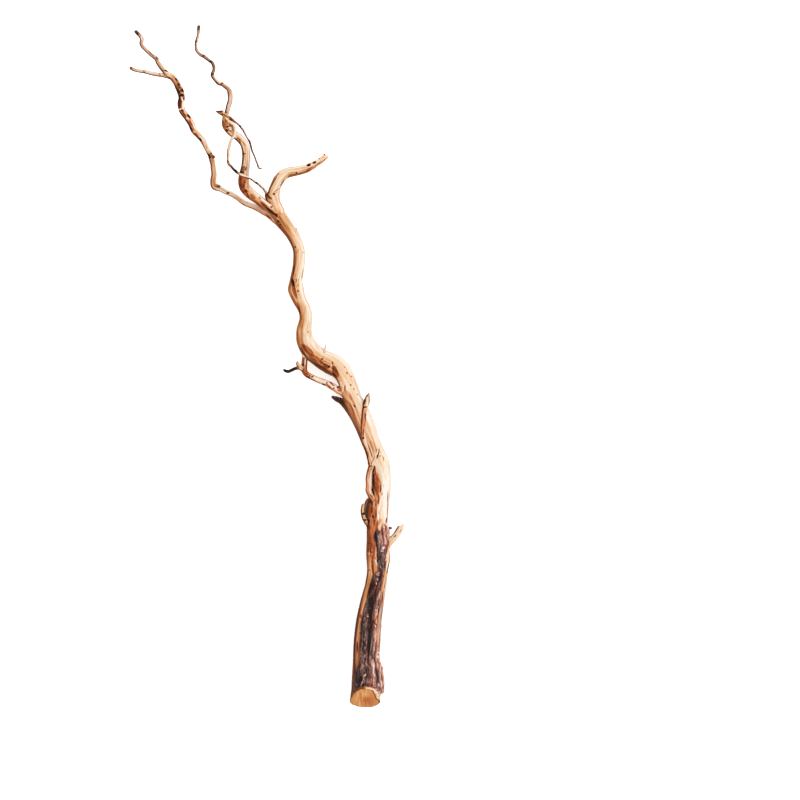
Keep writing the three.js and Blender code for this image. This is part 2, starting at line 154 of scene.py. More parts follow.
def smooth_line(route):
    """Between two points, the cubic that passes each one parallel to the chord of its two neighbours."""
    points = np.asarray(route, float)
    spare = np.vstack([2 * points[0] - points[1], points, 2 * points[-1] - points[-2]])
    before, start, end, after = (spare[i : i + len(points) - 1, None] for i in range(4))
    share = np.linspace(0, 1, SPAN_SAMPLES, endpoint=False)[None, :, None]
    curve = start + 0.5 * (
        (end - before) * share
        + (2 * before - 5 * start + 4 * end - after) * share**2
        + (3 * start - before - 3 * end + after) * share**3
    )
    curve = np.vstack([curve.reshape(-1, 4), points[-1]])
    middle = curve[:, :3] + BUTT
    run = np.concatenate([[0], np.cumsum(np.linalg.norm(np.diff(middle, axis=0), axis=1))])
    forward = unit(np.gradient(middle, run, axis=0))
    side = unit(np.cross(forward, UP))
    return {
        "middle": middle, "radius": curve[:, 3], "run": run, "forward": forward, "side": side,
        "top": np.cross(side, forward), "length": run[-1], "points": run[::SPAN_SAMPLES],
    }


def along(line, name, run):
    """A line's values at any distance from its root, straight between its samples."""
    columns = line[name].reshape(len(line["run"]), -1).T
    found = np.stack([np.interp(run, line["run"], column) for column in columns], axis=-1)
    return found[..., 0] if line[name].ndim == 1 else found


LINES = {name: smooth_line(route) for name, route in ROUTES.items()}
print("limb lengths, mm", {name: round(line["length"]) for name, line in LINES.items()})

# %% [markdown]
# Wood is never quite smooth, and never random: its bumps follow the fibres. One field of smooth noise
# does for all of it. Stretched along the limb it gives flutes and streaks, left round it gives lumps, and
# cut off at a height it gives pits. A hash of whole numbers makes it the same on each run.

# %% Smooth noise
def cell_value(x, y, z, seed):
    """A fixed number from -1 to 1 for each cell: its three counts times large odd numbers, then mixed."""
    mixed = x * np.uint32(374761393) + y * np.uint32(668265263) + z * np.uint32(2246822519)
    mixed = mixed + np.uint32(seed * 40503 + 17)
    mixed = (mixed ^ (mixed >> np.uint32(13))) * np.uint32(1274126177)
    mixed = (mixed ^ (mixed >> np.uint32(16))) * np.uint32(2654435761)
    return (mixed ^ (mixed >> np.uint32(15))) / 2147483647.5 - 1


def drift(places, size, seed):
    """Noise from -1 to 1: the values at a cell's eight corners, weighed by an eased share of the way over."""
    scaled = places / np.asarray(size, float)
    cell = np.floor(scaled)
    part = scaled - cell
    part = part * part * (3 - 2 * part)
    low = cell.astype(np.int64).astype(np.uint32)
    total = np.zeros(scaled.shape[:-1])
    for corner in np.ndindex(2, 2, 2):
        share = np.prod(np.where(corner, part, 1 - part), axis=-1)
        total += share * cell_value(*(low[..., i] + np.uint32(corner[i]) for i in range(3)), seed)
    return total


RIDGE_FALL = 2.4  # how steeply a ridge falls off beside its crest


def ridges(places, size, seed):
    """Noise folded at zero: 1 along sharp crests, falling to -1 and a little below it between them."""
    return 1 - RIDGE_FALL * np.abs(drift(places, size, seed))


def ease(low, high, value):
    """0 below low, 1 above high, and a smooth step between. With low above high it falls instead."""
    share = np.clip((value - low) / (high - low), 0, 1)
    return share * share * (3 - 2 * share)


print("noise at one place", drift(np.array([[1.3, 2.1, 0.4]]), 1, 5).round(3))

# %% [markdown]
# What the sea and the sun did to the skin, and the light and shade painted on it, is written as two numbers
# at each point. Tone runs from 0, rotted nearly black, to 1, bleached cream. Flush runs from -1, grey,
# over 0, plain tan, to 1, the pink-red of wood just under the bark. A stain, knot or crack is an oval
# mark: where it is, its half length and half width, how it is turned, how much it adds to tone and flush,
# and how deep it is cut. Its place is read off the photograph in pixels. Where a mark's row is cut short,
# the numbers that it lacks are 0.

# %% Places in the photograph, and marks
PIXEL = 1.5  # millimetres of the branch that one pixel covers
ORIGIN_PIXEL = (266.4, 366.2)  # the pixel that shows the frame's origin
PAINTED_LIGHT_WAY = np.array([0.78, 0.62])  # the way over the surface to the side painted as lit
SKIN_IN_SIGHT = (-0.3, 0.0)  # how far up a ray points where marks begin, and where they are whole
MARK_EDGE = (0.7, 1.2)  # an oval is whole up to the first share of its reach, and gone at the second


def seen(x, y):
    """Where a pixel of the photograph lies on the surface, in millimetres from the origin."""
    return np.array([(x - ORIGIN_PIXEL[0]) * PIXEL, (ORIGIN_PIXEL[1] - y) * PIXEL])


def pixels_from(places, x, y):
    """How many pixels to the right of a pixel, and how many above it, each place is seen."""
    away = (places[..., :2] - seen(x, y)) / PIXEL
    return away[..., 0], away[..., 1]


def marked(places, upward, marks):
    """Sum of the marks. Each is whole inside its oval and eases to nothing at its edge, on the side seen."""
    total = np.zeros(places.shape[:-1] + (3,))
    shown = ease(*SKIN_IN_SIGHT, upward)
    for x, y, half_length, half_width, turn, *changes in marks:
        tone, flush, depth = (*changes, 0, 0)[:3]
        right, above = pixels_from(places, x, y)
        cosine, sine = math.cos(math.radians(turn)), math.sin(math.radians(turn))
        lengthwise = right * cosine + above * sine
        crosswise = above * cosine - right * sine
        reach = np.hypot(lengthwise / half_length, crosswise / half_width)
        total += (shown * (1 - ease(*MARK_EDGE, reach)))[..., None] * np.array([tone, flush, -depth])
    return total


def painted_lit_side(ray, forward):
    """From -1 on a limb's edge painted as shaded to 1 on its edge painted as lit, as the camera sees them."""
    across = unit(np.stack([forward[..., 1], -forward[..., 0]], axis=-1))
    sign = np.clip(3 * across @ PAINTED_LIGHT_WAY, -1, 1)
    return sign * (ray[..., 0] * across[..., 0] + ray[..., 1] * across[..., 1])


print("the middle of the picture, mm", seen(400, 400).round(1))

# %% [markdown]
# Where two limbs meet, real wood flows from one into the other. A boolean would leave a hard seam, so
# both skins are pushed out where they come near each other, by the amount that a rounded union of two
# tubes has.

# %% Flowing joints
FAR_AWAY = 99.0  # millimetres, the gap given to places out of a limb's reach
NEARBY = 40  # millimetres round a limb in which its gap is measured
EVERY_THIRD = slice(None, None, 3)  # samples of a middle line that are close enough together


def clearance(places, line):
    """Distance to a limb's skin: that to the nearest sample of its middle line, less the radius there."""
    middle, radius = line["middle"][EVERY_THIRD], line["radius"][EVERY_THIRD]
    flat = places.reshape(-1, 3)
    found = np.full(len(flat), FAR_AWAY)
    near = np.all((flat > middle.min(0) - NEARBY) & (flat < middle.max(0) + NEARBY), axis=1)
    if near.any():
        close = flat[near]
        squares = (close**2).sum(1)[:, None] - 2 * close @ middle.T + (middle**2).sum(1)
        found[near] = (np.sqrt(np.maximum(squares, 0)) - radius).min(axis=1)
    return found.reshape(places.shape[:-1])


def flowing(gap, reach):
    """Push of a rounded union: (reach - gap) squared over four times the reach."""
    return np.maximum(reach - np.abs(gap), 0) ** 2 / (4 * reach)


print("push where two skins touch, for a reach of 4 mm:", flowing(0.0, 4.0))

# %% [markdown]
# Knots are the stumps of twigs that the trunk grew round. Each is a low swelling with a pit, and the
# fibres part to go round it. The ones that the photograph shows are marks; more are strewn over the sides
# and the underside.

# %% Strewn knots
KNOTTED_PART = (0.04, 0.96)  # the shares of a limb's length between which knots are strewn
SWELL_RISE, PIT_CUT = 0.34, 0.5  # a knot's swelling and pit, as shares of its size
PIT_DARK, RING_DARK = 0.42, 0.12  # how much darker the pit is, and the ring round the swelling
PIT_NARROW, RING_NARROW = 0.16, 0.05  # how narrow the bells of the pit and of the ring are
KNOT_STRETCH = 1.8  # a knot is drawn out along the limb by this number's root
PARTING = 0.55  # how far the fibres are pushed aside


def strewn_knots(name, count, seed, below=0.35, least=0.16, most=0.34):
    """Random knots on a line, as rows of [distance from root, turn, size]; those on top move underneath."""
    random = np.random.default_rng(seed)
    run = random.uniform(*KNOTTED_PART, count) * LINES[name]["length"]
    turn = random.uniform(-math.pi, math.pi, count)
    turn = np.where(np.sin(turn) > below, -turn, turn)
    size = along(LINES[name], "radius", run) * random.uniform(least, most, count)
    return np.stack([run, turn, size], axis=-1)


def knotted(turn, run, radius, knots):
    """Height, darkness and parted turn: a bell-shaped swelling less a narrower bell for the pit."""
    height, dark, parted = np.zeros(turn.shape), np.zeros(turn.shape), turn.copy()
    for knot_run, knot_turn, size in knots:
        round_it = np.angle(np.exp(1j * (turn - knot_turn))) * radius
        reach = ((run - knot_run) ** 2 / KNOT_STRETCH + round_it**2) / size**2
        swelling = np.exp(-reach)
        pit = np.exp(-reach / PIT_NARROW)
        height += size * (SWELL_RISE * swelling - PIT_CUT * pit)
        dark += PIT_DARK * pit + RING_DARK * np.exp(-((np.sqrt(reach) - 1) ** 2) / RING_NARROW)
        parted += round_it / radius * PARTING * np.exp(-reach / 3)
    return height, dark, parted


print("first strewn knot of the trunk", strewn_knots("trunk", 26, 11)[0].round(2))

# %% [markdown]
# A limb is a tube: at each distance along its line and each turn round it, a ray goes out from the middle
# to the skin. A Blender curve with a bevel would give a round pipe. Here the section has the lobes that
# the solids have, and every place can be moved along its own ray.

# %% Rays, lobes and the grain's own millimetres
FIBRE_TWIST = 0.0025  # radians a millimetre: fibres climb round a limb as they grow


def turns(run):
    """Equal turns round the limb, the same on each ring of run."""
    return np.linspace(0, math.tau, run.shape[1], endpoint=False)[None, :] + 0 * run


def around(line, run, turn):
    """Middle, ray, way forward, radius. The ray is side by the turn's cosine plus top by its sine."""
    ray = np.cos(turn)[..., None] * along(line, "side", run)
    ray = ray + np.sin(turn)[..., None] * along(line, "top", run)
    return along(line, "middle", run), unit(ray), along(line, "forward", run), along(line, "radius", run)


def lobed(turn, run):
    """One plus three cosines round the section, each turning slowly with the distance from the root."""
    return (
        1
        + 0.05 * np.cos(2 * turn + 0.009 * run + 0.4)
        + 0.045 * np.cos(3 * turn - 0.016 * run + 1.9)
        + 0.022 * np.cos(5 * turn + 0.027 * run + 0.7)
    )


def unrolled(turn, run, radius):
    """The wood's own millimetres, in which a limb is straight: two across the section and one along it."""
    return np.stack([radius * np.cos(turn), radius * np.sin(turn), run], axis=-1)


print("lobes at the root", lobed(np.array([0.0, 1.0, 2.0]), 0.0).round(3))

# %% [markdown]
# The side of a limb towards the light is painted paler, as painted light; its other side keeps its colour,
# and its dark edge is painted shade, the shadow between limb and sheet. Shades say so at chosen points of
# the route: each is (route point, tone, swing from the painted-shade edge to the painted-light one, flush,
# darkness of the painted-shade rim). Between the points they run straight.

# %% Painted light and shade on a limb
SHADE_RIM_DEPTH = 1.15  # how much a whole rim of painted shade takes off the tone
SHADE_RIM_REACH = (1.35, 0.5)  # where a rim's painted shade begins and where it is whole, counted from the edge
SHADE_RIM_FLOOR, SHADE_RIM_FLOOR_FALL = 0.3, 0.4  # the darkest that a faint rim of painted shade may be, and how much lower a strong one
UNDER_TONE, UNDER_SHARE = 0.52, 0.75  # the tone of the hidden underside, and how far tones go there
GLARE_LOSS = 0.12  # what the very edge of the side painted as lit loses, so that it isn't pure white
LIT_FLUSH_LOSS, LIT_EDGE_FLUSH_LOSS = 0.3, 0.45  # how much redness the painted light takes from the lit side, and more from its very edge


def painted_light_and_shade(line, shades, run, radius, ray, forward):
    """Shades plus painted light on the lit side, less painted shade in the rim, evened out on the underside.
    """
    shade = np.asarray(shades, float)
    at = line["points"][shade[:, 0].astype(int)]
    tone, swing, flush, rim = (np.interp(run, at, column) for column in shade[:, 1:].T)
    # Painted light: tone and flush swing with the lit side. Painted shade: the rim darkens the other edge.
    lit = painted_lit_side(ray, forward)
    tone = tone + swing * lit - GLARE_LOSS * ease(0.7, 1, lit)
    from_edge = (1 + lit) * np.sqrt(radius)
    darkened = tone - SHADE_RIM_DEPTH * rim * ease(*SHADE_RIM_REACH, from_edge) * ease(-0.6, 0.0, ray[..., 2])
    tone = np.maximum(darkened, np.minimum(tone, SHADE_RIM_FLOOR - SHADE_RIM_FLOOR_FALL * rim))
    tone = tone + ease(-0.1, -0.7, ray[..., 2]) * (UNDER_TONE - tone) * UNDER_SHARE
    return tone, flush - LIT_FLUSH_LOSS * ease(0.2, 1, lit) - LIT_EDGE_FLUSH_LOSS * ease(0.8, 1, lit)


def crisped(tone, rows, columns, share):
    """Tone plus a share of its difference from the mean of four places around: dark lines get pale lips."""
    rows, columns = max(1, round(rows)), max(1, round(columns))
    tone = np.clip(tone, -0.1, 1.05)
    spare = np.pad(tone, ((rows, rows), (0, 0)), mode="edge")
    lengthwise = spare[2 * rows :] + spare[: -2 * rows]
    crosswise = np.roll(tone, columns, 1) + np.roll(tone, -columns, 1)
    return tone + share * (tone - (lengthwise + crosswise) / 4)


print("tone of the underside", UNDER_TONE)

# %% [markdown]
# The sea leaves the hard fibres standing and washes the soft ones out. Flutes as wide as a finger, fine
# ridges between them and slow lumps are three noises of the same kind. They are added to the ray's length
# and, more faintly, to the tone, so that a crest is pale and a furrow dark.

# %% Fibres in relief and in tone
FLUTE_RISE, FINE_RISE, LUMP_RISE = 0.042, 0.016, 0.045  # shares of the limb's mean radius
FLUTE_TONE, FINE_TONE, STREAK_TONE, CLOUD_TONE = 0.075, 0.05, 0.10, 0.06
CLOUD_FLUSH = 0.16
PORE_TONE = 0.3  # how much darker the fine pores are


def flute_width(thickness):
    """Millimetres across a flute: 0.9 times the limb's mean radius to the power 0.63."""
    return 0.9 * thickness**0.63


def fibres_in(grain, wide, seed):
    """Flutes, fine ridges and lumps: ridged noise of two widths, and round noise."""
    flutes = ridges(grain, (wide, wide, 15 * wide), seed)
    fine = ridges(grain, (wide / 2.6, wide / 2.6, 8 * wide), seed + 1)
    lumps = drift(grain, (2.4 * wide, 2.4 * wide, 5 * wide), seed + 2)
    return flutes, fine, lumps


def weathering(grain, wide, seed, streaky):
    """What noise adds to tone and flush: streaks and clouds drawn out along the grain, less dark pores."""
    tone = streaky * STREAK_TONE * drift(grain, (wide * 0.45, wide * 0.45, 9 * wide), seed + 3)
    tone = tone + CLOUD_TONE * drift(grain, (2 * wide, 2 * wide, 6 * wide), seed + 4)
    flush = CLOUD_FLUSH * drift(grain, (1.6 * wide, 1.6 * wide, 12 * wide), seed + 5)
    where_pores = ease(0.0, 0.4, drift(grain, (14, 14, 40), seed + 8))
    pores = ease(0.62, 0.78, drift(grain, (1.5, 1.5, 4.5), seed + 6)) * where_pores
    return tone - PORE_TONE * pores, flush


print("width and rise of the flutes on the trunk, mm", round(flute_width(14), 1), round(14 * FLUTE_RISE, 2))

# %% [markdown]
# Now the tube itself. Its end is either rounded, as a twig's tip is, or an oblique, splintered break.
# Where another limb comes near, its skin swells to meet it, and the crease between them is darker: dirt
# stays there, and the rest is painted shade.

# %% The skin of a limb
LIP = 1.7  # how far off, in millimetres, a furrow's pale lip reaches
LIP_SHARE = 0.5  # how much of the difference from its surroundings a tone gains
SIDE_SWAY, TOP_SWAY = 4.5, 4.0  # lengths of the bends that never followed the route, in roots of the radius
CREASE_REACH = 0.35  # how far a crease's painted shade reaches, as a share of the joint's reach
BREAK_REACH = (2.2, 0.2)  # in radii from the tip: where a break begins to slant, and where it slants fully


def swayed(line, middle, run, wobble, thickness, seed):
    """The middle line moved to the side and up by slow noise along it."""
    sway = np.stack([run, 0 * run, 0 * run], axis=-1)
    to_side = wobble * drift(sway, SIDE_SWAY * thickness**0.5, seed)
    middle = middle + to_side[..., None] * along(line, "side", run)
    upward = wobble * drift(sway, TOP_SWAY * thickness**0.5, seed + 1)
    return middle + upward[..., None] * along(line, "top", run)


def joined(places, joins):
    """How far the skin swells towards its neighbours, and how dark the creases are: dirt and painted shade.
    """
    swell, crease = np.zeros(places.shape[:-1]), np.zeros(places.shape[:-1])
    for name, reach, shadow in joins:
        gap = clearance(places, LINES[name])
        swell += flowing(gap, reach)
        crease += shadow * np.exp(-np.maximum(gap, 0) / (CREASE_REACH * reach))
    return swell, crease


def limb(
    line, step, sides, shades, marks=(), knots=(), seed=1, relief=1.0, joins=(), start=None, knob=None,
    tip=0.75, slant=(0, 0), ragged=0.0, wobble=0.0, streaky=1.0,
):
    """A closed shell: rings of places round a line, with what each place wears.

    joins holds (name, reach, crease): lines that this one flows into, and how much darker the crease is, by
    dirt and painted shade. tip is the length of the rounded end in radii; slant and ragged make it an
    oblique, splintered break instead.
    wobble moves the middle line off its route by at most that many millimetres. start gives each ray its own
    beginning, and knob a form that is added to the skin.
    """
    begin = np.zeros(sides) if start is None else start
    rings = math.ceil(line["length"] / step) + 1
    run = begin + (line["length"] - begin) * np.linspace(0, 1, rings)[:, None]
    turn = turns(run)
    middle, ray, forward, radius = around(line, run, turn)
    thickness = float(np.mean(line["radius"]))
    wide = flute_width(thickness)

    height, dark, parted = knotted(turn, run, radius, knots)
    grain = unrolled(parted + FIBRE_TWIST * run, run, radius)
    flutes, fine, lumps = fibres_in(grain, wide, seed)
    height = height + relief * thickness * (FLUTE_RISE * flutes + FINE_RISE * fine + LUMP_RISE * lumps)

    middle = swayed(line, middle, run, wobble, thickness, seed + 9)
    body = radius * lobed(turn, run)
    places = middle + ray * body[..., None]
    if knob is not None:
        height = height + knob(places, ray)
    stains = marked(places, ray[..., 2], marks)
    swell, crease = joined(places, joins)

    to_tip = (line["length"] - run) / (radius * tip)
    rounding = np.sqrt(np.maximum(0, 1 - np.maximum(0, 1 - to_tip) ** 2))
    places = middle + ray * ((body + height + stains[..., 2] + swell) * rounding)[..., None]
    teeth = ragged * drift(grain, (wide / 2, wide / 2, 40 * wide), seed + 7)
    push = (np.cos(turn) * slant[0] + np.sin(turn) * slant[1] + teeth) * radius * ease(*BREAK_REACH, to_tip)
    places = places + forward * push[..., None]
    places[..., 2] = np.maximum(places[..., 2], 0)

    tone, flush = painted_light_and_shade(line, shades, run, radius, ray, forward)
    noise_tone, noise_flush = weathering(grain, wide, seed, streaky)
    tone = tone + streaky * (FLUTE_TONE * flutes + FINE_TONE * fine) + noise_tone
    # Dark knots, and creases darkened by dirt and painted shade
    tone = tone - dark - crease + stains[..., 0]
    tone = crisped(tone, LIP / step, LIP * sides / (math.tau * thickness), LIP_SHARE)
    return {"places": places, "grain": grain, "tone": tone, "flush": flush + noise_flush + stains[..., 1]}


print("pale lips are", LIP, "mm wide")

# %% [markdown]
# A mesh wants its corners in one list and its faces as numbers into it. Rings of places make a tube of
# four-sided faces, and a fan of triangles to one pole closes each end. Several shells may share a mesh: a
# stub is a shell whose root is sunk in its limb.

# %% From shells to a mesh
MM = 0.001  # the routes are in millimetres, Blender's mesh in metres
WORN = (("tone", "FLOAT", "value"), ("flush", "FLOAT", "value"), ("grain", "FLOAT_VECTOR", "vector"))


def faces_of(rings, sides, first):
    """Corner numbers of a tube's faces, turned to face out, and of the two fans to its poles."""
    ring, side = np.meshgrid(np.arange(rings - 1), np.arange(sides), indexing="ij")
    after = (side + 1) % sides
    here, there = ring * sides, (ring + 1) * sides
    quads = np.stack([here + side, there + side, there + after, here + after])
    near = np.arange(sides)
    after = (near + 1) % sides
    pole, last = rings * sides, (rings - 1) * sides
    root = np.stack([np.full(sides, pole), near, after])
    tip = np.stack([np.full(sides, pole + 1), last + after, last + near])
    return quads.reshape(4, -1).T + first, np.vstack([root.T, tip.T]) + first


def with_poles(values):
    """Ring values as one list, followed by the averages of the first ring and of the last one."""
    flat = values.reshape((-1,) + values.shape[2:])
    return np.concatenate([flat, values[:1].mean(axis=1), values[-1:].mean(axis=1)])


def closed_mesh(name, shells):
    """A mesh from closed shells: all quads, then all fans, with tone, flush and grain at its corners."""
    columns = {key: np.concatenate([with_poles(shell[key]) for shell in shells]) for key in shells[0]}
    quads, fans, first = [], [], 0
    for shell in shells:
        rings, sides = shell["tone"].shape
        shell_quads, shell_fans = faces_of(rings, sides, first)
        quads.append(shell_quads)
        fans.append(shell_fans)
        first += rings * sides + 2
    quads, fans = np.vstack(quads), np.vstack(fans)
    mesh = bpy.data.meshes.new(name)
    mesh.vertices.add(first)
    mesh.vertices.foreach_set("co", (columns["places"] * MM).ravel())
    mesh.loops.add(quads.size + fans.size)
    mesh.loops.foreach_set("vertex_index", np.concatenate([quads.ravel(), fans.ravel()]))
    mesh.polygons.add(len(quads) + len(fans))
    starts = np.concatenate([np.arange(len(quads)) * 4, quads.size + np.arange(len(fans)) * 3])
    mesh.polygons.foreach_set("loop_start", starts)
    mesh.update(calc_edges=True)
    for key, kind, field in WORN:
        values = columns[key].astype(np.float32).ravel()
        mesh.attributes.new(key, kind, "POINT").data.foreach_set(field, values)
    return mesh, len(quads), len(fans)


def make_piece(node, name, shells, materials, second=0):
    """One object from closed shells. The first second rings of the first shell wear the second material."""
    mesh, quads, fans = closed_mesh(name, shells)
    for look in materials:
        mesh.materials.append(look)
    if second:
        sides = shells[0]["tone"].shape[1]
        wears = np.zeros(quads + fans, np.int32)
        wears[: second * sides] = 1
        wears[quads : quads + sides] = 1
        mesh.polygons.foreach_set("material_index", wears)
    mesh.shade_smooth()
    piece = bpy.data.objects.new(name, mesh)
    bpy.context.scene.collection.objects.link(piece)
    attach(piece, "root")
    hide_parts(node)
    print(name, quads * 2 + fans, "triangles")


print("quads and fans of 3 rings with 4 sides", [len(faces) for faces in faces_of(3, 4, 0)])

# %% [markdown]
# A material is a tree of nodes. Clicked together by hand it is hard to read again; written with a few
# helpers it reads like the sum that it is.

# %% Shader helpers
STUDIO_LIGHT = 1.42  # how much brighter than white paper's own white the studio lights a surface


def put(tree, kind, links=None, **settings):
    """A node with its settings, and its inputs linked where a socket is given, or else set."""
    made = tree.nodes.new(kind)
    for key, value in settings.items():
        setattr(made, key, value)
    for key, value in (links or {}).items():
        if isinstance(value, bpy.types.NodeSocket):
            tree.links.new(value, made.inputs[key])
        else:
            made.inputs[key].default_value = value
    return made


def sums(tree, operation, first, second=0.0, clamp=False):
    """The result of one Math node."""
    made = put(tree, "ShaderNodeMath", {0: first, 1: second}, operation=operation, use_clamp=clamp)
    return made.outputs[0]


def swing_about_half(tree, value, swing):
    """(value - 0.5) times the swing: a noise from 0 to 1 made a change that goes both ways."""
    return sums(tree, "MULTIPLY", sums(tree, "SUBTRACT", value, 0.5), swing)


def blended(tree, share, first, second):
    """Two colours mixed by a share, which the node holds between 0 and 1."""
    return put(tree, "ShaderNodeMix", {0: share, 6: first, 7: second}, data_type="RGBA").outputs[2]


def spread(tree, value, low, high, to_low=0.0, to_high=1.0):
    """A value between low and high, moved to between to_low and to_high."""
    return put(tree, "ShaderNodeMapRange", {0: value, 1: low, 2: high, 3: to_low, 4: to_high}).outputs[0]


def attribute(tree, name):
    """A mesh attribute's value."""
    return put(tree, "ShaderNodeAttribute", attribute_name=name).outputs["Fac"]


def along_grain(tree, stretch):
    """The grain with the way along the limb shortened, so that noise read from it is drawn out."""
    grain = put(tree, "ShaderNodeAttribute", attribute_name="grain").outputs["Vector"]
    links = {0: grain, 1: (1, 1, stretch)}
    return put(tree, "ShaderNodeVectorMath", links, operation="MULTIPLY").outputs[0]


def noise(tree, places, scale, detail, roughness=0.5):
    """Noise from 0 to 1, with about as many lumps to a millimetre as the scale says."""
    links = {"Vector": places, "Scale": scale, "Detail": detail, "Roughness": roughness}
    return put(tree, "ShaderNodeTexNoise", links).outputs[0]


def linear(channel):
    """A screen value as light: (value + 0.055) / 1.055 to the power 2.4, or a 12.92th near black."""
    value = channel / 255
    return value / 12.92 if value <= 0.04045 else ((value + 0.055) / 1.055) ** 2.4


def ramp(tree, value, stops):
    """A colour ramp from rows of (place, red, green, blue), as they should look under the studio's light."""
    made = put(tree, "ShaderNodeValToRGB", {0: value})
    elements = made.color_ramp.elements
    while len(elements) < len(stops):
        elements.new(0.5)
    for element, (place, *colour) in zip(elements, stops):
        element.position = place
        element.color = (*(linear(channel) / STUDIO_LIGHT for channel in colour), 1)
    return made.outputs[0]


def group(name, inputs, outputs):
    """A node group with named sockets, each (name, kind, value), and its inner input and output nodes."""
    tree = bpy.data.node_groups.new(name, "ShaderNodeTree")
    for label, kind, value in inputs:
        tree.interface.new_socket(label, in_out="INPUT", socket_type=kind).default_value = value
    for label, kind in outputs:
        tree.interface.new_socket(label, in_out="OUTPUT", socket_type=kind)
    return tree, tree.nodes.new("NodeGroupInput"), tree.nodes.new("NodeGroupOutput")


print("mid grey of the screen as light", round(linear(128), 3))

# %% [markdown]
# Weathered wood isn't one brown. Its colour is read from tone and flush: one ramp from rot to cream, one
# for the reddish wood under the bark and one for grey. They are mixed in a node group, so that every wood
# on the branch shares them.

# %% The shared colours
TAN_STOPS = [
    (0, 34, 15, 4), (0.22, 94, 50, 21), (0.45, 160, 91, 43), (0.6, 208, 142, 86), (0.72, 234, 182, 130),
    (0.86, 246, 218, 187), (1, 250, 241, 229),
]
FLUSH_STOPS = [
    (0, 44, 10, 3), (0.22, 102, 36, 10), (0.45, 165, 79, 34), (0.6, 200, 114, 68), (0.72, 226, 156, 114),
    (0.86, 242, 201, 168), (1, 248, 229, 213),
]
GREY_STOPS = [
    (0, 26, 16, 14), (0.25, 82, 55, 47), (0.5, 147, 107, 95), (0.75, 211, 175, 157), (1, 244, 233, 223),
]


def weathered_group():
    """Tone to colour by the tan ramp, mixed with the flushed one as flush rises and the grey as it falls."""
    tree, given, result = group(
        "weathered colour",
        [("Tone", "NodeSocketFloat", 0.7), ("Flush", "NodeSocketFloat", 0.0)],
        [("Colour", "NodeSocketColor")],
    )
    tone, flush = given.outputs["Tone"], given.outputs["Flush"]
    reddened = blended(tree, flush, ramp(tree, tone, TAN_STOPS), ramp(tree, tone, FLUSH_STOPS))
    greyed = blended(tree, sums(tree, "MULTIPLY", flush, -1.0), reddened, ramp(tree, tone, GREY_STOPS))
    tree.links.new(greyed, result.inputs["Colour"])
    return tree


WEATHERED = weathered_group()
print("group", WEATHERED.name)

# %% [markdown]
# Between the flutes, single fibres and pores show as hair-thin streaks. An image of wood would have to be
# wrapped round every limb. Noise in the limb's own millimetres, drawn out along the grain, follows it
# through every bend.

# %% The shared fibres
STREAK_STRETCH, PORE_STRETCH = 0.05, 0.16  # how much shorter the way along the limb counts
PORES_TO_A_STREAK = 2.2
PORE_EDGE = (0.64, 0.74)  # the heights of the noise between which it becomes a pore


def fibre_group():
    """Two noises in the limb's millimetres, drawn out along the grain: broad streaks and short pores."""
    tree, given, result = group(
        "wood fibres",
        [("Width", "NodeSocketFloat", 1.5)],
        [("Streak", "NodeSocketFloat"), ("Pore", "NodeSocketFloat")],
    )
    scale = sums(tree, "DIVIDE", 1.0, given.outputs["Width"])
    streak = noise(tree, along_grain(tree, STREAK_STRETCH), scale, 5.0, 0.62)
    finer = sums(tree, "MULTIPLY", scale, PORES_TO_A_STREAK)
    pore = spread(tree, noise(tree, along_grain(tree, PORE_STRETCH), finer, 2.0), *PORE_EDGE)
    tree.links.new(streak, result.inputs["Streak"])
    tree.links.new(pore, result.inputs["Pore"])
    return tree


FIBRES = fibre_group()
print("group", FIBRES.name)

# %% [markdown]
# Bare driftwood is dry and dull, a little smoother where the fibres stand up. Fibres a fifth of a
# millimetre deep are too fine for the mesh, so the bump gives them; the flutes, knots and cracks are in
# the mesh itself.

# %% Wood materials
PORE_SHADE = 0.16  # how much darker a pore is


def material(name):
    """An empty material, its tree and its Principled shader."""
    made = bpy.data.materials.new(name)
    made.use_nodes = True
    return made, made.node_tree, made.node_tree.nodes["Principled BSDF"]


def finish(tree, shader, colour, rough, height, strength, depth, mirror):
    """Colour, roughness and a bump of the given depth in metres into the shader, and how much it mirrors."""
    links = {"Strength": strength, "Distance": depth, "Height": height}
    bump = put(tree, "ShaderNodeBump", links).outputs[0]
    for socket, value in (("Base Color", colour), ("Roughness", rough), ("Normal", bump)):
        tree.links.new(value, shader.inputs[socket])
    shader.inputs["Specular IOR Level"].default_value = mirror


def wood(name, width, contrast, dull):
    """Weathered wood: tone plus the fibres' streaks, less their pores, through the shared colours."""
    made, tree, shader = material(name)
    fibres = put(tree, "ShaderNodeGroup", {"Width": width}, node_tree=FIBRES)
    streak, pore = fibres.outputs["Streak"], fibres.outputs["Pore"]
    tone = sums(tree, "ADD", attribute(tree, "tone"), swing_about_half(tree, streak, contrast))
    tone = sums(tree, "SUBTRACT", tone, sums(tree, "MULTIPLY", pore, PORE_SHADE), clamp=True)
    links = {"Tone": tone, "Flush": attribute(tree, "flush")}
    colour = put(tree, "ShaderNodeGroup", links, node_tree=WEATHERED).outputs[0]
    rough = spread(tree, tone, 0.0, 1.0, dull + 0.1, dull - 0.04)
    finish(tree, shader, colour, rough, sums(tree, "SUBTRACT", streak, pore), 0.5, 0.0005, 0.12)
    return made


BARE_WOOD = wood("bare_wood", 1.5, 0.44, 0.66)
TWIG_SKIN = wood("twig_wood", 0.8, 0.34, 0.7)
print("materials", BARE_WOOD.name, TWIG_SKIN.name)

# %% [markdown]
# The trunk begins at the saw cut. The saw didn't go square through it: the cut leans back, so that it is
# seen from above as an ellipse. A boolean would cut the tube with a slab. Here each ray begins where the
# skin meets the saw's plane, so there is nothing to cut off.

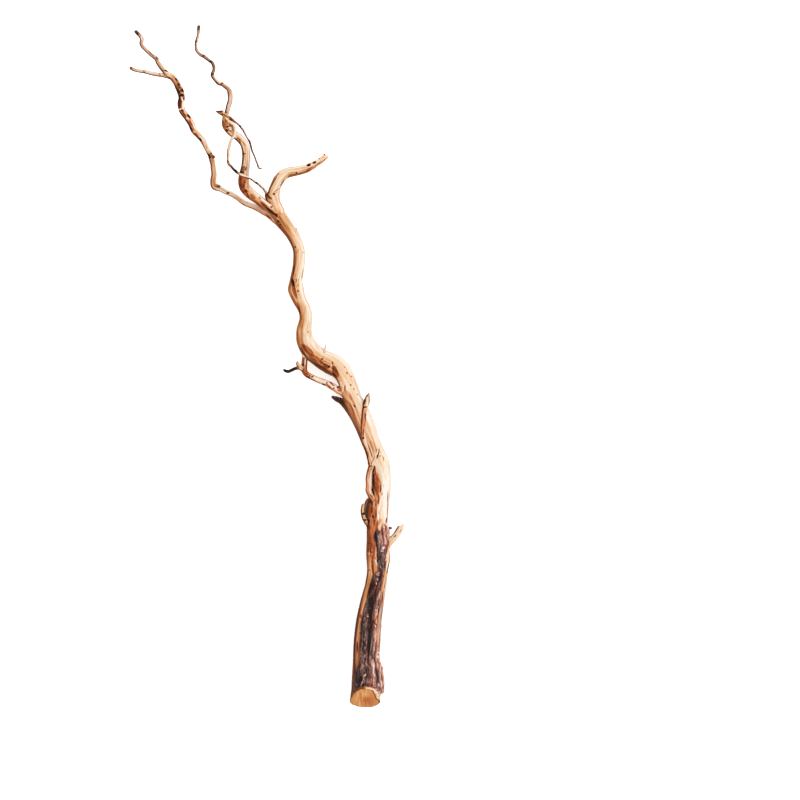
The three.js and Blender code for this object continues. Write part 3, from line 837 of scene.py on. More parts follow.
# %% The saw's plane
SAW_SLANT = math.radians(33)
SAW_HEIGHT = 21  # millimetres from the sheet to the middle of the cut
SAW_MIDDLE = BUTT + np.array([0, 0, SAW_HEIGHT])
SAW_NORMAL = np.array([0, -math.cos(SAW_SLANT), math.sin(SAW_SLANT)])
SAW_SEARCH, SAW_STEP = 90, 0.2  # millimetres of the trunk that are searched for the plane, and how finely


def saw_start(line, sides):
    """For each ray, the distance from the route's start at which its skin meets the saw's plane."""
    run = np.arange(0, SAW_SEARCH, SAW_STEP)[:, None] + np.zeros((1, sides))
    turn = turns(run)
    middle, ray, _, radius = around(line, run, turn)
    skin = middle + ray * (radius * lobed(turn, run))[..., None]
    kept = (skin - SAW_MIDDLE) @ SAW_NORMAL < 0
    return run[np.argmax(kept, axis=0), 0]


print("the saw's plane meets the skin at, mm", saw_start(LINES["trunk"], 4))

# %% [markdown]
# The trunk is the thickest limb and is seen best. Its left edge is painted dark as shade, its right side is
# painted pale as light, and the wood beside the bark is still red-brown. Swellings that belong to one side
# only, where the wood closed over a broken twig, are bells that only some rays feel.

# %% The trunk's shades and swellings
# Route point, tone, swing from painted shade to painted light, flush, darkness of the painted-shade rim
TRUNK_SHADES = [
    (0, 0.4, 0.02, 0.3, 0.28), (3, 0.41, 0.02, 0.4, 0.3), (4, 0.5, 0.02, 0.4, 0.4),
    (5, 0.56, 0.02, 0.3, 0.46), (7, 0.62, 0.02, 0.25, 0.5), (8, 0.65, 0.04, 0.3, 0.42),
    (9, 0.67, 0.08, 0.3, 0.3), (11, 0.69, 0.18, 0.35, 0.25), (12, 0.74, 0.2, 0.3, 0.24),
    (13, 0.8, 0.18, 0.2, 0.28), (15, 0.83, 0.16, 0.1, 0.3), (16, 0.78, 0.2, 0.1, 0.32),
    (18, 0.74, 0.24, 0.2, 0.22), (20, 0.79, 0.2, 0.1, 0.1), (21, 0.79, 0.18, 0, 0.18),
    (22, 0.72, 0.22, 0.1, 0.3), (24, 0.7, 0.22, 0.1, 0.28), (25, 0.73, 0.2, 0, 0.2),
    (27, 0.74, 0.2, 0, 0.08), (30, 0.7, 0.22, 0, 0.04), (31, 0.7, 0.22, 0.1, 0.02),
    (33, 0.7, 0.22, 0.1, 0.24), (35, 0.7, 0.22, 0.1, 0.24), (36, 0.6, 0.26, 0.1, 0.04),
    (37, 0.51, 0.3, 0.1, 0), (39, 0.54, 0.28, 0.1, 0),
]
# Knots and hollows that the solid has too, on the upper side: across and along from the butt, reach, rise
TRUNK_KNOTS = [
    (-110, 621, 6, -3.2), (-36, 467, 6, 2.4), (-62, 506, 7, -1.6), (24, 50, 9, 2.2), (30, 252, 5, 2.4),
    (-8, 30, 8, 2), (8, 278, 7, -2), (22, 316, 8, -1.8), (-86, 549, 6, 1.4), (-96, 606, 7, 1.6),
]
# Flanks: pixel across, pixel down, half height, half width, the way it faces in degrees, rise
TRUNK_FLANKS = [
    (372, 479, 12, 9, 180, 6), (325, 372, 9, 13, 238, 5.2), (380, 439, 14, 8, 20, -4.2),
    (389, 556, 9, 8, 0, 1.8), (379, 694, 6, 6, 20, -2.2), (282, 205, 8, 8, 15, -1.8),
    (330, 350, 4, 7, 60, -1.6), (366, 551, 24, 6, 180, 1.5), (388, 566, 9, 6, 0, 1.2),
    (380, 626, 18, 6, 0, 0.9), (356, 628, 24, 6, 180, 0.7), (360, 448, 20, 6, 205, 1.3),
    (289, 291, 8, 5, 190, 1), (303, 258, 10, 5, 0, 0.9), (315, 343, 4, 5, 45, 1.5),
    (361, 397, 5, 5, 20, -1.6), (385, 449, 8, 6, 10, -1.4), (389, 478, 14, 6, 0, 1.1),
]
FACING = (0.1, 0.9)  # how far a ray points that way where a flank's swelling begins, and where it is whole


def trunk_knots(places, ray):
    """Bells of a given rise and reach, felt more the more a ray points up."""
    total = np.zeros(places.shape[:-1])
    for across, forth, reach, rise in TRUNK_KNOTS:
        away = np.hypot(places[..., 0] - BUTT[0] - across, places[..., 1] - BUTT[1] - forth) / reach
        total += rise * np.exp(-away * away) * np.maximum(0, ray[..., 2])
    return total


def trunk_form(places, ray):
    """The trunk's knots, and swellings of its flanks: bells that only rays to that side feel."""
    total = trunk_knots(places, ray)
    for x, y, half_height, half_width, facing, rise in TRUNK_FLANKS:
        right, above = pixels_from(places, x, y)
        bell = np.exp(-((above / half_height) ** 2) - (right / half_width) ** 2)
        facing = math.radians(facing)
        that_way = ray[..., 0] * math.cos(facing) + ray[..., 1] * math.sin(facing)
        total += rise * bell * ease(*FACING, that_way)
    return total


print("shades, knots and flanks", len(TRUNK_SHADES), len(TRUNK_KNOTS), len(TRUNK_FLANKS))

# %% [markdown]
# The cracks, knots and stains that can be seen one by one are marks. They are listed stretch by stretch,
# from the fork down to the bark.

# %% The trunk's marks
# Pixel across, pixel down, half length, half width, turn, tone, flush, depth
TRUNK_MARKS = [
    # The fork
    (271.3, 206.7, 1.2, 0.8, -50, -0.4, 0.3, 0.3), (277, 214.5, 2.4, 1.4, -50, -0.6, 0.6, 1),
    (274.5, 217.8, 3, 0.7, -33, -0.5, 0.1, 0.4), (278, 218, 2.6, 0.5, -50, 0.2, -0.2),
    (282.5, 218, 9, 1, -58, 0.1, -0.3), (276.5, 218.7, 2.2, 0.8, -30, -0.6, 0, 0.4),
    (278.6, 221.3, 1.2, 0.7, -55, -0.4, 0.3, 0.3), (276, 222.5, 9, 1.4, -36, -0.12, 0.5),
    (280.8, 224.3, 0.8, 0.7, 0, -0.3, 0.4, 0.2), (284, 231, 8, 1.4, -48, -0.14, 0.4),
    # The neck below the fork
    (289.8, 240, 6, 1.4, -62, -0.14, 0.3), (295.5, 247, 1, 0.9, 0, -0.35, 0.3, 0.3),
    (298, 251, 3.4, 0.5, 60, -0.12, 0.2, 0.2), (302.7, 252.7, 1.4, 0.6, -60, -0.2, 0.1, 0.2),
    (293.9, 271, 6, 0.9, 85, -0.13, 0.4), (302.4, 274, 6, 0.7, 84, -0.3, -0.2, 0.2),
    (292.6, 283, 3.6, 1.2, 88, -0.65, 0.2, 1.6), (290.4, 288, 8, 1.3, -86, 0.08, -0.2),
    (294.1, 289, 11, 2.1, -74, -0.25, 0.7), (298, 291, 1.1, 1, 0, -0.4, 0, 0.4),
    # Down to the bend
    (298.9, 307, 7, 1.3, -76, -0.2, 0.3), (305, 310, 5, 0.6, 80, -0.08, 0, 0.2),
    (301, 316, 14, 2.6, 92, -0.08, 0.1), (308, 332, 1, 0.9, 0, -0.3, 0, 0.3),
    (298.8, 338, 8, 1.2, -80, -0.08, 0.2), (317, 348, 4, 0.7, -42, -0.14, 0, 0.2),
    # The bend, and its painted shadow: the near-black band along the lower edge, beside the side twig
    (307.5, 350, 8.5, 3, -42, -0.25, 0.9), (303, 351.5, 6, 1, -58, -0.25, -0.2),
    (315, 358, 7, 2.4, -30, -0.18, 0.8), (322, 359, 1.2, 1.1, 0, -0.5, 0.1, 0.5),
    (321.5, 362, 2.4, 1.6, -40, -0.2, 0.4, 0.1), (332.5, 363, 1.6, 0.8, 80, -0.4, 0, 0.3),
    (325.5, 364.5, 4.5, 0.7, -31, -0.2, 0.4, 0.2), (312.6, 365, 6, 1.8, -41, -0.65, -0.4),
    (331.6, 365.4, 1.3, 0.4, 70, 0.3), (326.5, 365.5, 4, 1.6, -28, -0.17, 0.5),
    (329.4, 366.2, 1, 0.9, 30, -0.6, 0.3, 0.4), (344.5, 367, 0.8, 0.7, 0, -0.25, 0.2, 0.2),
    (323, 367.6, 10, 1.6, -33, -0.06, 0.3), (320.5, 370.6, 6, 1.9, -34, -0.65, -0.4),
    (335.8, 371.5, 6.5, 2.2, -65, -0.3, 0.7, 0.4), (347, 373, 1.3, 0.8, 110, -0.42, 0, 0.4),
    # The side twig's root, where the bend's near-black band of painted shadow ends
    (328.6, 375.5, 6, 1.9, -32, -0.65, -0.4), (351.5, 376.5, 0.9, 0.8, 0, -0.35, 0, 0.3),
    (335.2, 380.6, 4.5, 1.8, -46, -0.45, -0.3), (337.8, 382.5, 3.2, 1.2, -65, -0.5),
    (342, 384, 3, 1.4, -60, 0.12, 0.3), (351, 385, 1, 0.9, 0, -0.4, 0.2, 0.3),
    (353.6, 385, 12, 2.6, -68, -0.08, 0.1), (347.4, 385, 9, 1.6, -66, 0.06),
    (337.6, 387.4, 1, 0.9, 20, -0.4, 0.4, 0.2), (345.2, 388, 3.5, 0.7, 85, -0.3, 0.4, 0.2),
    (354, 389, 0.9, 0.8, 0, -0.3, 0, 0.3), (343.3, 389, 3.5, 0.8, 80, 0.14, -0.3),
    (340, 389.6, 2.5, 2.4, 0, -0.2, 1, -0.6), (337.8, 393.4, 3, 0.9, -45, -0.3, 0.2),
    (357.5, 394.5, 0.9, 0.8, 0, -0.3, 0, 0.3), (348.5, 395, 6, 2.2, -60, -0.12, 0.3, 0.1),
    (344.5, 399, 5, 1.2, -55, -0.12, 0.4),
    # Beside the dark spur
    (352.5, 401.5, 9, 2, -63, -0.04, 0.2), (354.5, 406, 1.8, 0.8, 120, -0.36, 0, 0.3),
    (358, 406, 9, 1.6, -66, 0.05), (351, 407, 8, 1, -58, -0.1, 0.3, 0.2),
    (359.6, 413, 12, 1.4, -68, 0.07), (355.5, 415, 17, 1.3, -68, -0.04, 0.9),
    # Behind the climbing stem, with painted shade in the gap behind it
    (373.5, 447, 8, 2.2, -65, -0.08, 0.3), (369.5, 449.4, 8.5, 0.7, -69, -0.42, 0.9, 0.7),
    # At (378.2, 453.6): the painted shadow of the stem's spur on the trunk
    (381.3, 452, 1, 0.6, 0, -0.24, 0.2, 0.2), (378.2, 453.6, 5.5, 1, 75, -0.6, 0.3, 0.5),
    (380.3, 456, 1.2, 0.6, 30, -0.28, 0.2, 0.2), (383.3, 458.3, 0.8, 0.6, 0, -0.2, 0.2, 0.2),
    (374.4, 469, 3.5, 0.8, 85, -0.45, 0.2, 0.6), (375.4, 471, 6, 1.3, 92, -0.28, 0.8, 0.4),
    # At (372.6, 478) and (373.3, 489): slits cut in and painted near-black as the shade of the gap
    (372.6, 478, 7, 0.9, 84, -0.7, 0, 1.2), (378.5, 480, 5, 1.4, 95, 0.1),
    (379.6, 481, 5, 1.6, -60, -0.1, 0.3), (377.5, 485, 13, 3, 92, -0.24, 0.8, 1),
    (383.5, 486, 2, 0.4, 95, -0.2, 0, 0.2), (380.6, 488.5, 4.2, 0.9, 87, -0.45, 0.8, 0.4),
    (373.3, 489, 7, 0.9, -82, -0.7, 0, 1.2), (382, 494, 1.6, 0.7, 70, -0.3, 0, 0.2),
    # The red-brown wood round the bark's upper end
    (387.9, 498, 7.5, 0.5, 95, -0.26, 0, 0.4), (378.4, 499.5, 5, 1, 86, -0.4, 0.3, 0.4),
    (385, 500, 20, 2.6, 90, 0.1, -0.2), (373.5, 500.5, 3.6, 1.2, -45, 0.06, 0.6, -0.2),
    (371.2, 502.5, 3.4, 0.9, -60, -0.2, 0.3, 0.3), (387.8, 503, 12, 0.6, 90, -0.2, -0.3, 0.2),
    (374.4, 504.5, 4, 1.4, -70, 0.1, 0.6), (374.8, 507, 7, 1.2, 88, 0.05, 0.8),
    (371.6, 510, 4, 1, 80, -0.24, 0.6, 0.3), (375.7, 511, 11, 1.5, 87, -0.2, 0.7),
    (387.4, 512, 8, 0.5, 88, -0.24, 0, 0.4), (370, 512, 11, 2, 88, 0.08, 0.2),
    (378.7, 512.5, 2, 0.6, 80, -0.3, 0.2, 0.2), (378.3, 514, 8, 0.6, 91, 0.14, -0.2, -0.2),
    (376, 514.5, 4, 0.9, 92, -0.14, 0.5, 0.2), (372.8, 514.6, 1.4, 0.8, 0, 0.12, 0.4),
    (372.6, 516, 2.2, 1.4, 90, -0.3, 0, 0.4), (374.6, 518.5, 1.8, 0.8, -50, 0.1, 0.4),
    (386.3, 520.5, 3, 0.8, 80, -0.5, 0, 0.6), (369.5, 521, 2.2, 0.8, 80, -0.2, 0.3, 0.2),
    (374, 521, 5, 0.9, 94, -0.25, 0.2, 0.4), (379.2, 522, 4, 2, 60, -0.14, 0.5),
    (368.6, 524, 5, 1, 88, -0.2, 0.4), (368, 524, 5, 0.8, 88, -0.2, 0.2),
    (366.6, 525.5, 6, 1.2, 92, -0.3, 0, 0.4), (370, 528, 3, 0.8, 85, -0.16, 0.3, 0.2),
    (372.3, 530, 28, 4.8, 92, -0.05, 0.8), (376.8, 532, 14, 1.3, 88, -0.25, 0.3),
    (370.8, 545, 12, 0.8, 92, -0.16, 0.3, 0.3), (373, 551, 9, 2.6, 94, -0.12, 0.35),
    (389.4, 553, 4.5, 0.9, 84, -0.3, 0.5, 0.2), (369.6, 553.5, 1.6, 1.2, 0, 0.16, 0, -0.2),
    (372.3, 556, 10, 0.9, 92, 0.2, -0.2, -0.2), (372.6, 560, 16, 3, 92, -0.03, 0.4),
    (388.4, 561, 13, 0.7, 86, -0.22, 0.1, 0.3), (368.8, 562, 9, 1.2, 90, 0.12),
    (376.8, 563, 4, 0.9, -72, 0.24, 0.2, -0.3), (386.6, 564, 16, 1.2, 88, 0.06, -0.3),
    (372.8, 565, 10, 1, 92, -0.4, 0, 0.8), (387.6, 567, 7, 0.8, 80, -0.3, 0.3, 0.2),
    # The bare strips beside the bark
    (388, 572.5, 1.6, 0.7, 80, -0.3, -0.3), (369.5, 590, 12, 1.2, 77, -0.14, 0.4),
    (384, 597, 14, 1, 82, 0.1, 0.2), (382.6, 597, 6, 0.8, 85, -0.3, 0.7, 0.2),
    (383.4, 598, 20, 2.8, 82, 0.04, -0.5), (381.5, 600, 17, 1.8, 85, -0.03, -0.1),
    (361, 616, 2.2, 1, 80, -0.2, 0.1, 0.2), (380.5, 625, 24, 2.4, 84, 0, -0.2),
    (378.4, 628, 24, 1.1, 86, 0.1), (379.6, 636, 22, 2.6, 87, 0.02, -0.25),
    (357.5, 647, 6, 0.8, 88, -0.32, 0.2, 0.3),
]
print("marks on the trunk", len(TRUNK_MARKS))

# %% [markdown]
# The bark is what is left between two torn edges. Its outline is needed twice: for the bark itself, and
# for the wood beside it, which lay under bark until lately and is redder than the rest, and darker with
# painted shade from the bark's edge.

# %% The bark's outline
# Across and along from the middle of the butt, in millimetres
BARK_OUTLINE = [
    [23.5, 251], [19, 253.5], [14.5, 249], [13, 241], [17, 232], [18, 218], [17, 205], [19, 192],
    [11, 184], [5, 163], [3, 148], [-3, 132], [-6, 115], [-7, 96], [-8, 78], [-7, 60], [-13, 40],
    [-17, 14], [-17, -24], [-2, -24], [1, 15], [8, 15], [13, 11], [19, 7], [24, 6], [28, 10], [28.5, 30],
    [25, 46], [19.5, 58], [18, 76], [16, 96], [19, 118], [23, 140], [24, 166], [29, 188], [32, 208],
    [34.5, 228], [34.5, 248], [33, 258], [28, 261.5], [25, 259],
]
NO_RISE = 1e-9  # stands in for a level side's rise, so that nothing is divided by 0


def inside(places, outline):
    """Distance to a closed outline's nearest side, below zero outside it.

    Outside, a line that goes off to the right crosses the outline an even number of times.
    """
    corners = np.asarray(outline, float) + BUTT[:2]
    flat = places[..., :2].reshape(-1, 1, 2)
    start, end = corners, np.roll(corners, -1, axis=0)
    edge = end - start
    share = np.clip(((flat - start) * edge).sum(-1) / (edge**2).sum(-1), 0, 1)
    gap = np.linalg.norm(flat - start - edge * share[..., None], axis=-1).min(axis=1)
    beside = (start[:, 1] > flat[..., 1]) != (end[:, 1] > flat[..., 1])
    rise = np.where(edge[:, 1] == 0, NO_RISE, edge[:, 1])
    crossing = start[:, 0] + (flat[..., 1] - start[:, 1]) * edge[:, 0] / rise
    odd = (beside & (flat[..., 0] < crossing)).sum(axis=1) % 2 == 1
    return np.where(odd, gap, -gap).reshape(places.shape[:-1])


print("inside the bark by, mm", inside((BUTT + [10, 100, 0])[None], BARK_OUTLINE).round(1))

# %% [markdown]
# Now the trunk's tube. Two things are added to its tone once it stands: the redder wood along the bark's
# edge, darker there with painted shade, and a fresh, pale rim where the saw broke through the skin, paler
# on the right as painted light and darker on the left as painted shade.

# %% The trunk's skin
TRUNK_SIDES = 128
TRUNK_STEP = 1.3  # millimetres between rings
BARK_EDGE_REACH = 1.2  # millimetres that the bark's edge reddens the bare wood and paints shade on it

trunk_shell = limb(
    LINES["trunk"], TRUNK_STEP, TRUNK_SIDES, TRUNK_SHADES, marks=TRUNK_MARKS, seed=20, tip=1.2,
    knots=strewn_knots("trunk", 26, 11), knob=trunk_form, start=saw_start(LINES["trunk"], TRUNK_SIDES),
    joins=[
        ("left_limb", 4, 0), ("right_limb", 5, 0), ("middle_limb", 4, 0.08), ("climbing_stem", 2.5, 0.1),
        ("side_twig", 4, 0),
    ],
)
height = trunk_shell["places"][..., 2]
from_cut = (np.arange(trunk_shell["tone"].shape[0]) * TRUNK_STEP)[:, None]
# Beside the bark: redder wood that lay under bark, darkened as painted shade of the bark's edge
bark_edge_stain_and_shade = np.exp(np.minimum(inside(trunk_shell["places"], BARK_OUTLINE), 0) / BARK_EDGE_REACH)
bark_edge_stain_and_shade = bark_edge_stain_and_shade * ease(8, 16, height) * ease(2, 5, from_cut)
trunk_shell["tone"] -= 0.2 * bark_edge_stain_and_shade
trunk_shell["flush"] += 0.3 * bark_edge_stain_and_shade
fresh = ease(4.0, 1.5, from_cut) * ease(10, 20, height)
fresh_rim_light_and_shade_tone = 0.3 + 0.6 * ease(-3, 4, trunk_shell["places"][..., 0] - BUTT[0])  # paler on the right as painted light, darker on the left as painted shade
trunk_shell["tone"] += fresh * (fresh_rim_light_and_shade_tone - trunk_shell["tone"])
print("trunk rings and sides", trunk_shell["tone"].shape)

# %% [markdown]
# The sawn face is a disc of its own rings, from the pith out to the tube's first ring, on the saw's
# plane. It shows the saw's strokes, growth rings, and a dark crack behind which a pale sliver has come
# loose at the right. It joins the tube as more rings of the same shell, so the butt is closed.

# %% The sawn face
FACE_RINGS = 22
PITH = BUTT + np.array([2.0, -1.4, SAW_HEIGHT - 1.4 / math.tan(SAW_SLANT)])


def sawn_face(rim):
    """Rings from the pith to the rim, on the saw's plane, less the depth of saw lines and crack."""
    share = 1 - (1 - np.linspace(0.03, 0.985, FACE_RINGS)) ** 1.15
    places = PITH + (rim - PITH) * share[:, None, None]
    uphill = np.array([0, math.sin(SAW_SLANT), math.cos(SAW_SLANT)])
    grain = np.stack([places[..., 0] - PITH[0], (places - PITH) @ uphill, 0 * places[..., 0]], axis=-1)
    angle = np.arctan2(grain[..., 1], grain[..., 0])
    share = share[:, None] + 0 * angle
    wobble = drift(grain, 4, 71)
    strokes = drift(grain, (1.5, 13, 9), 73) + 0.6 * drift(grain, (2.6, 20, 9), 74)
    heart = np.exp(-((grain[..., 0] - 1) ** 2 + 0.35 * (grain[..., 1] + 4) ** 2) / 60)
    crack_at = 0.75 + 0.3 * (angle - 0.4) ** 2 + 0.012 * wobble
    at_right = ease(-0.75, -0.5, angle) * ease(1.5, 1.3, angle)
    crack = np.exp(-(((share - crack_at) / 0.04) ** 2)) * at_right
    sliver = ease(0.03, 0.06, share - crack_at) * at_right * ease(-0.2, 0.1, angle)
    outline = ease(0.92, 0.98, share) * (1 - sliver)
    tone = 0.68 + 0.13 * strokes - 0.15 * heart - 0.62 * crack + 0.22 * sliver
    tone = tone - outline * (0.2 + 0.22 * np.abs(np.cos(angle)))
    flush = 0.9 * heart + 0.5 * crack + 0.2 * sliver + 0.25 * ease(0, 9, grain[..., 0]) + 0.15 * wobble
    depth = 0.25 * strokes + 1.1 * crack + 0.2 * wobble
    places = places - SAW_NORMAL * (depth * ease(1, 0.9, share))[..., None]
    return {"places": places, "grain": grain, "tone": tone, "flush": flush}


cut_edge = trunk_shell["places"][0]
cut_edge[:, 1] = BUTT[1] + math.tan(SAW_SLANT) * (cut_edge[:, 2] - SAW_HEIGHT)
face = sawn_face(cut_edge)
trunk_shell = {key: np.concatenate([face[key], trunk_shell[key]]) for key in trunk_shell}
print("face, mm", np.round(np.ptp(cut_edge, axis=0), 1))

# %% [markdown]
# End grain drinks water and darkens, so the cut is warmer than the sides: golden at the rim and
# orange-red at the heart, by the same flush as elsewhere. Growth rings are a sine of the distance from
# the pith, bent by noise.

# %% Sawn wood
SAWN_STOPS = [
    (0, 40, 16, 5), (0.3, 136, 76, 30), (0.52, 200, 127, 60), (0.7, 224, 154, 84), (0.85, 244, 200, 146),
    (1, 252, 238, 218),
]
HEART_STOPS = [
    (0, 44, 12, 4), (0.3, 126, 48, 14), (0.52, 186, 92, 36), (0.7, 208, 118, 58), (0.85, 242, 188, 144),
    (1, 252, 236, 220),
]
RING_TURN = 3.4  # radians of the sine to a millimetre: a growth ring is about two millimetres wide
RING_BEND = 9.0  # how far, in radians, noise bends the rings


def sawn_wood():
    """Tone plus growth rings and pores, through a golden ramp and a redder one for the heart."""
    made, tree, shader = material("sawn_wood")
    grain = put(tree, "ShaderNodeAttribute", attribute_name="grain").outputs["Vector"]
    bend = sums(tree, "MULTIPLY", noise(tree, grain, 0.16, 2.0), RING_BEND)
    reach = put(tree, "ShaderNodeVectorMath", {0: grain}, operation="LENGTH").outputs["Value"]
    wave = sums(tree, "SINE", sums(tree, "ADD", sums(tree, "MULTIPLY", reach, RING_TURN), bend))
    speck = noise(tree, grain, 2.6, 4.0)
    tone = sums(tree, "ADD", attribute(tree, "tone"), sums(tree, "MULTIPLY", wave, 0.025))
    tone = sums(tree, "ADD", tone, swing_about_half(tree, speck, 0.24))
    golden, reddish = ramp(tree, tone, SAWN_STOPS), ramp(tree, tone, HEART_STOPS)
    colour = blended(tree, attribute(tree, "flush"), golden, reddish)
    height = sums(tree, "ADD", sums(tree, "MULTIPLY", wave, 0.4), speck)
    finish(tree, shader, colour, spread(tree, speck, 0.3, 0.7, 0.7, 0.85), height, 0.5, 0.0004, 0.2)
    return made


SAWN_WOOD = sawn_wood()
print("material", SAWN_WOOD.name)

# %% [markdown]
# Stubs are short twigs that broke off. Each is a shell of its own, sunk in its limb, whose end is an
# oblique, splintered break. The dark spur is a long splinter that split off the trunk's flank, and the
# flake lies beside it.

# %% The trunk's stubs
RIGHT_STUB = [
    [27, 226, 19, 5.8], [38, 235.5, 21, 5.1], [45.6, 243.5, 22, 4.8], [50.6, 250.8, 23, 4.8],
    [54.8, 259.3, 24, 4.5],
]
LEFT_SPUR = [
    [8, 256, 18, 3.4], [1, 265, 19, 3], [-3, 274, 20, 2.7], [-4, 282, 20.5, 2.5], [-2.6, 291.6, 21, 2.1],
]
BLACK_STUB = [[29, 252, 22, 3], [36, 255, 23, 2.2], [40, 256, 23.5, 1.4]]
FINE_THORN = [[-61, 517, 22, 1.5], [-60.5, 522, 25, 1.3], [-59.5, 527, 28, 1.2], [-58, 531.5, 29, 1]]
DARK_SPUR = [
    [13.6, 352, 15, 3], [9.3, 365, 13, 4.4], [4.5, 378, 12, 4.9], [-0.5, 390, 11.5, 4.9],
    [-7, 402, 11, 4.9], [-16.5, 420, 11, 4.8], [-26, 435, 11, 4.8], [-35, 445, 11.5, 4.3],
    [-43, 449, 12, 3.5], [-50, 452.5, 12.5, 1.9],
]
# The grey flake fills the gap beside the left spur: bark left there, dark also as painted shade of the gap
GREY_FLAKE = [
    [5.5, 268, 14, 3], [3, 276, 14, 4], [2.4, 285, 14.5, 4], [3.4, 293, 15, 3.6], [6, 300.5, 15, 2.2],
]
OBLIQUE_BREAK = {"tip": 0.5, "slant": (0.4, 0.3), "ragged": 0.7}
ON_TRUNK = [("trunk", 3, 0.1)]


def stub(route, shades, seed, sides=22, step=0.8, **more):
    """A short limb with a broken end."""
    return limb(smooth_line(route), step, sides, shades, seed=seed, **(OBLIQUE_BREAK | more))


trunk_stubs = [
    stub(
        RIGHT_STUB, [(0, 0.80, 0.12, 0.1, 0.3), (4, 0.78, 0.14, 0.2, 0.3)], 31,
        marks=[
            (395, 536, 1.8, 0.9, 40, -0.3, 0.4, 0.3), (401, 524, 2, 1, 55, -0.4, 0, 0.2),
            (400.5, 531, 2, 0.7, 60, -0.2, 0, 0.2),
        ],
        sides=32, joins=[("trunk", 5, 0.05)],
    ),
    stub(
        LEFT_SPUR, [(0, 0.62, 0.12, 0.3, 0.4), (2, 0.66, 0.14, 0.2, 0.5), (4, 0.68, 0.1, 0.1, 0.4)], 32,
        marks=[
            (364, 513.5, 2.2, 1.3, 30, -0.7, 0, 0.4), (365, 520, 1.8, 1.1, 0, -0.5, 0, 0.2),
            (362, 517, 1.6, 0.8, 60, -0.3, 0.2),
        ],
        joins=ON_TRUNK,
    ),
    stub(
        BLACK_STUB, [(0, 0.6, 0.1, 0, 0.2), (1, 0.3, 0.1, -0.4, 0.2), (2, 0.12, 0.05, -0.8, 0.1)], 33,
        joins=ON_TRUNK,
    ),
    stub(
        FINE_THORN, [(0, 0.84, 0.04, -0.4, 0), (1, 0.8, 0.04, -0.9, 0)], 34,
        joins=ON_TRUNK, sides=14, slant=(0, 0), tip=2.0,
    ),
    stub(
        DARK_SPUR,
        [
            (0, 0.56, 0.24, 0.4, 0.5), (3, 0.54, 0.26, 0.4, 0.5), (5, 0.48, 0.26, 0.3, 0.5),
            (6, 0.36, 0.2, 0.1, 0.3), (7, 0.16, 0.05, -0.4, 0.1), (8, 0.12, 0.05, -0.7, 0),
            (9, 0.18, 0.05, -0.8, 0),
        ],
        35, sides=48, joins=[("trunk", 6, 0)], ragged=0.8, slant=(0, 0), tip=1.2, relief=1.4,
    ),
    stub(
        GREY_FLAKE,
        [(0, 0.2, 0.05, -0.5, 0.1), (2, 0.32, 0.05, -0.6, 0.05), (4, 0.34, 0.05, -0.7, 0.05)],
        36, joins=ON_TRUNK, sides=20, relief=2.0,
    ),
]
trunk_parts = [trunk_shell] + trunk_stubs
make_piece("trunk", "trunk_wood", trunk_parts, [BARE_WOOD, SAWN_WOOD], second=FACE_RINGS)

# %% [markdown]
# The limbs above the fork are the same tube with less in it. The left limb is pinkish up to its knee,
# red-brown above it and nearly black at its nodes. It divides near its end, so its second tip is a shell
# of its own.

# %% The left limb's shades and marks
LEFT_SHADES = [
    (0, 0.66, 0.1, 0.7, 0.06), (2, 0.74, 0.1, 0.75, 0.15), (3, 0.77, 0.08, 0.7, 0.2),
    (4, 0.79, 0.06, 0.65, 0.22), (6, 0.86, 0.06, 0.6, 0.24), (9, 0.87, 0.08, 0.6, 0.25),
    (10, 0.74, 0.14, 0.4, 0.3), (11, 0.62, 0.16, 0.3, 0.3), (13, 0.6, 0.16, 0.3, 0.3),
    (14, 0.38, 0.1, 0, 0.2), (15, 0.74, 0.18, 0.3, 0.3), (17, 0.68, 0.22, 0.3, 0.22),
    (18, 0.56, 0.28, 0.4, 0.16), (19, 0.56, 0.28, 0.6, 0.12), (20, 0.54, 0.28, 0.7, 0.1),
    (21, 0.52, 0.26, 0.6, 0.1), (22, 0.46, 0.3, 0.6, 0.1), (23, 0.42, 0.34, 0.6, 0.06),
    (24, 0.26, 0.2, 0.1, 0.1), (25, 0.34, 0.2, 0.1, 0.1), (26, 0.54, 0.26, 0.5, 0.2),
    (27, 0.76, 0.2, 0.1, 0.3), (28, 0.68, 0.24, -0.2, 0.35), (31, 0.64, 0.26, -0.5, 0.35),
    (33, 0.64, 0.24, -0.5, 0.35), (34, 0.66, 0.24, -0.6, 0.35), (35, 0.5, 0.2, -0.6, 0.3),
    (36, 0.05, 0.02, -0.3, 0),
]
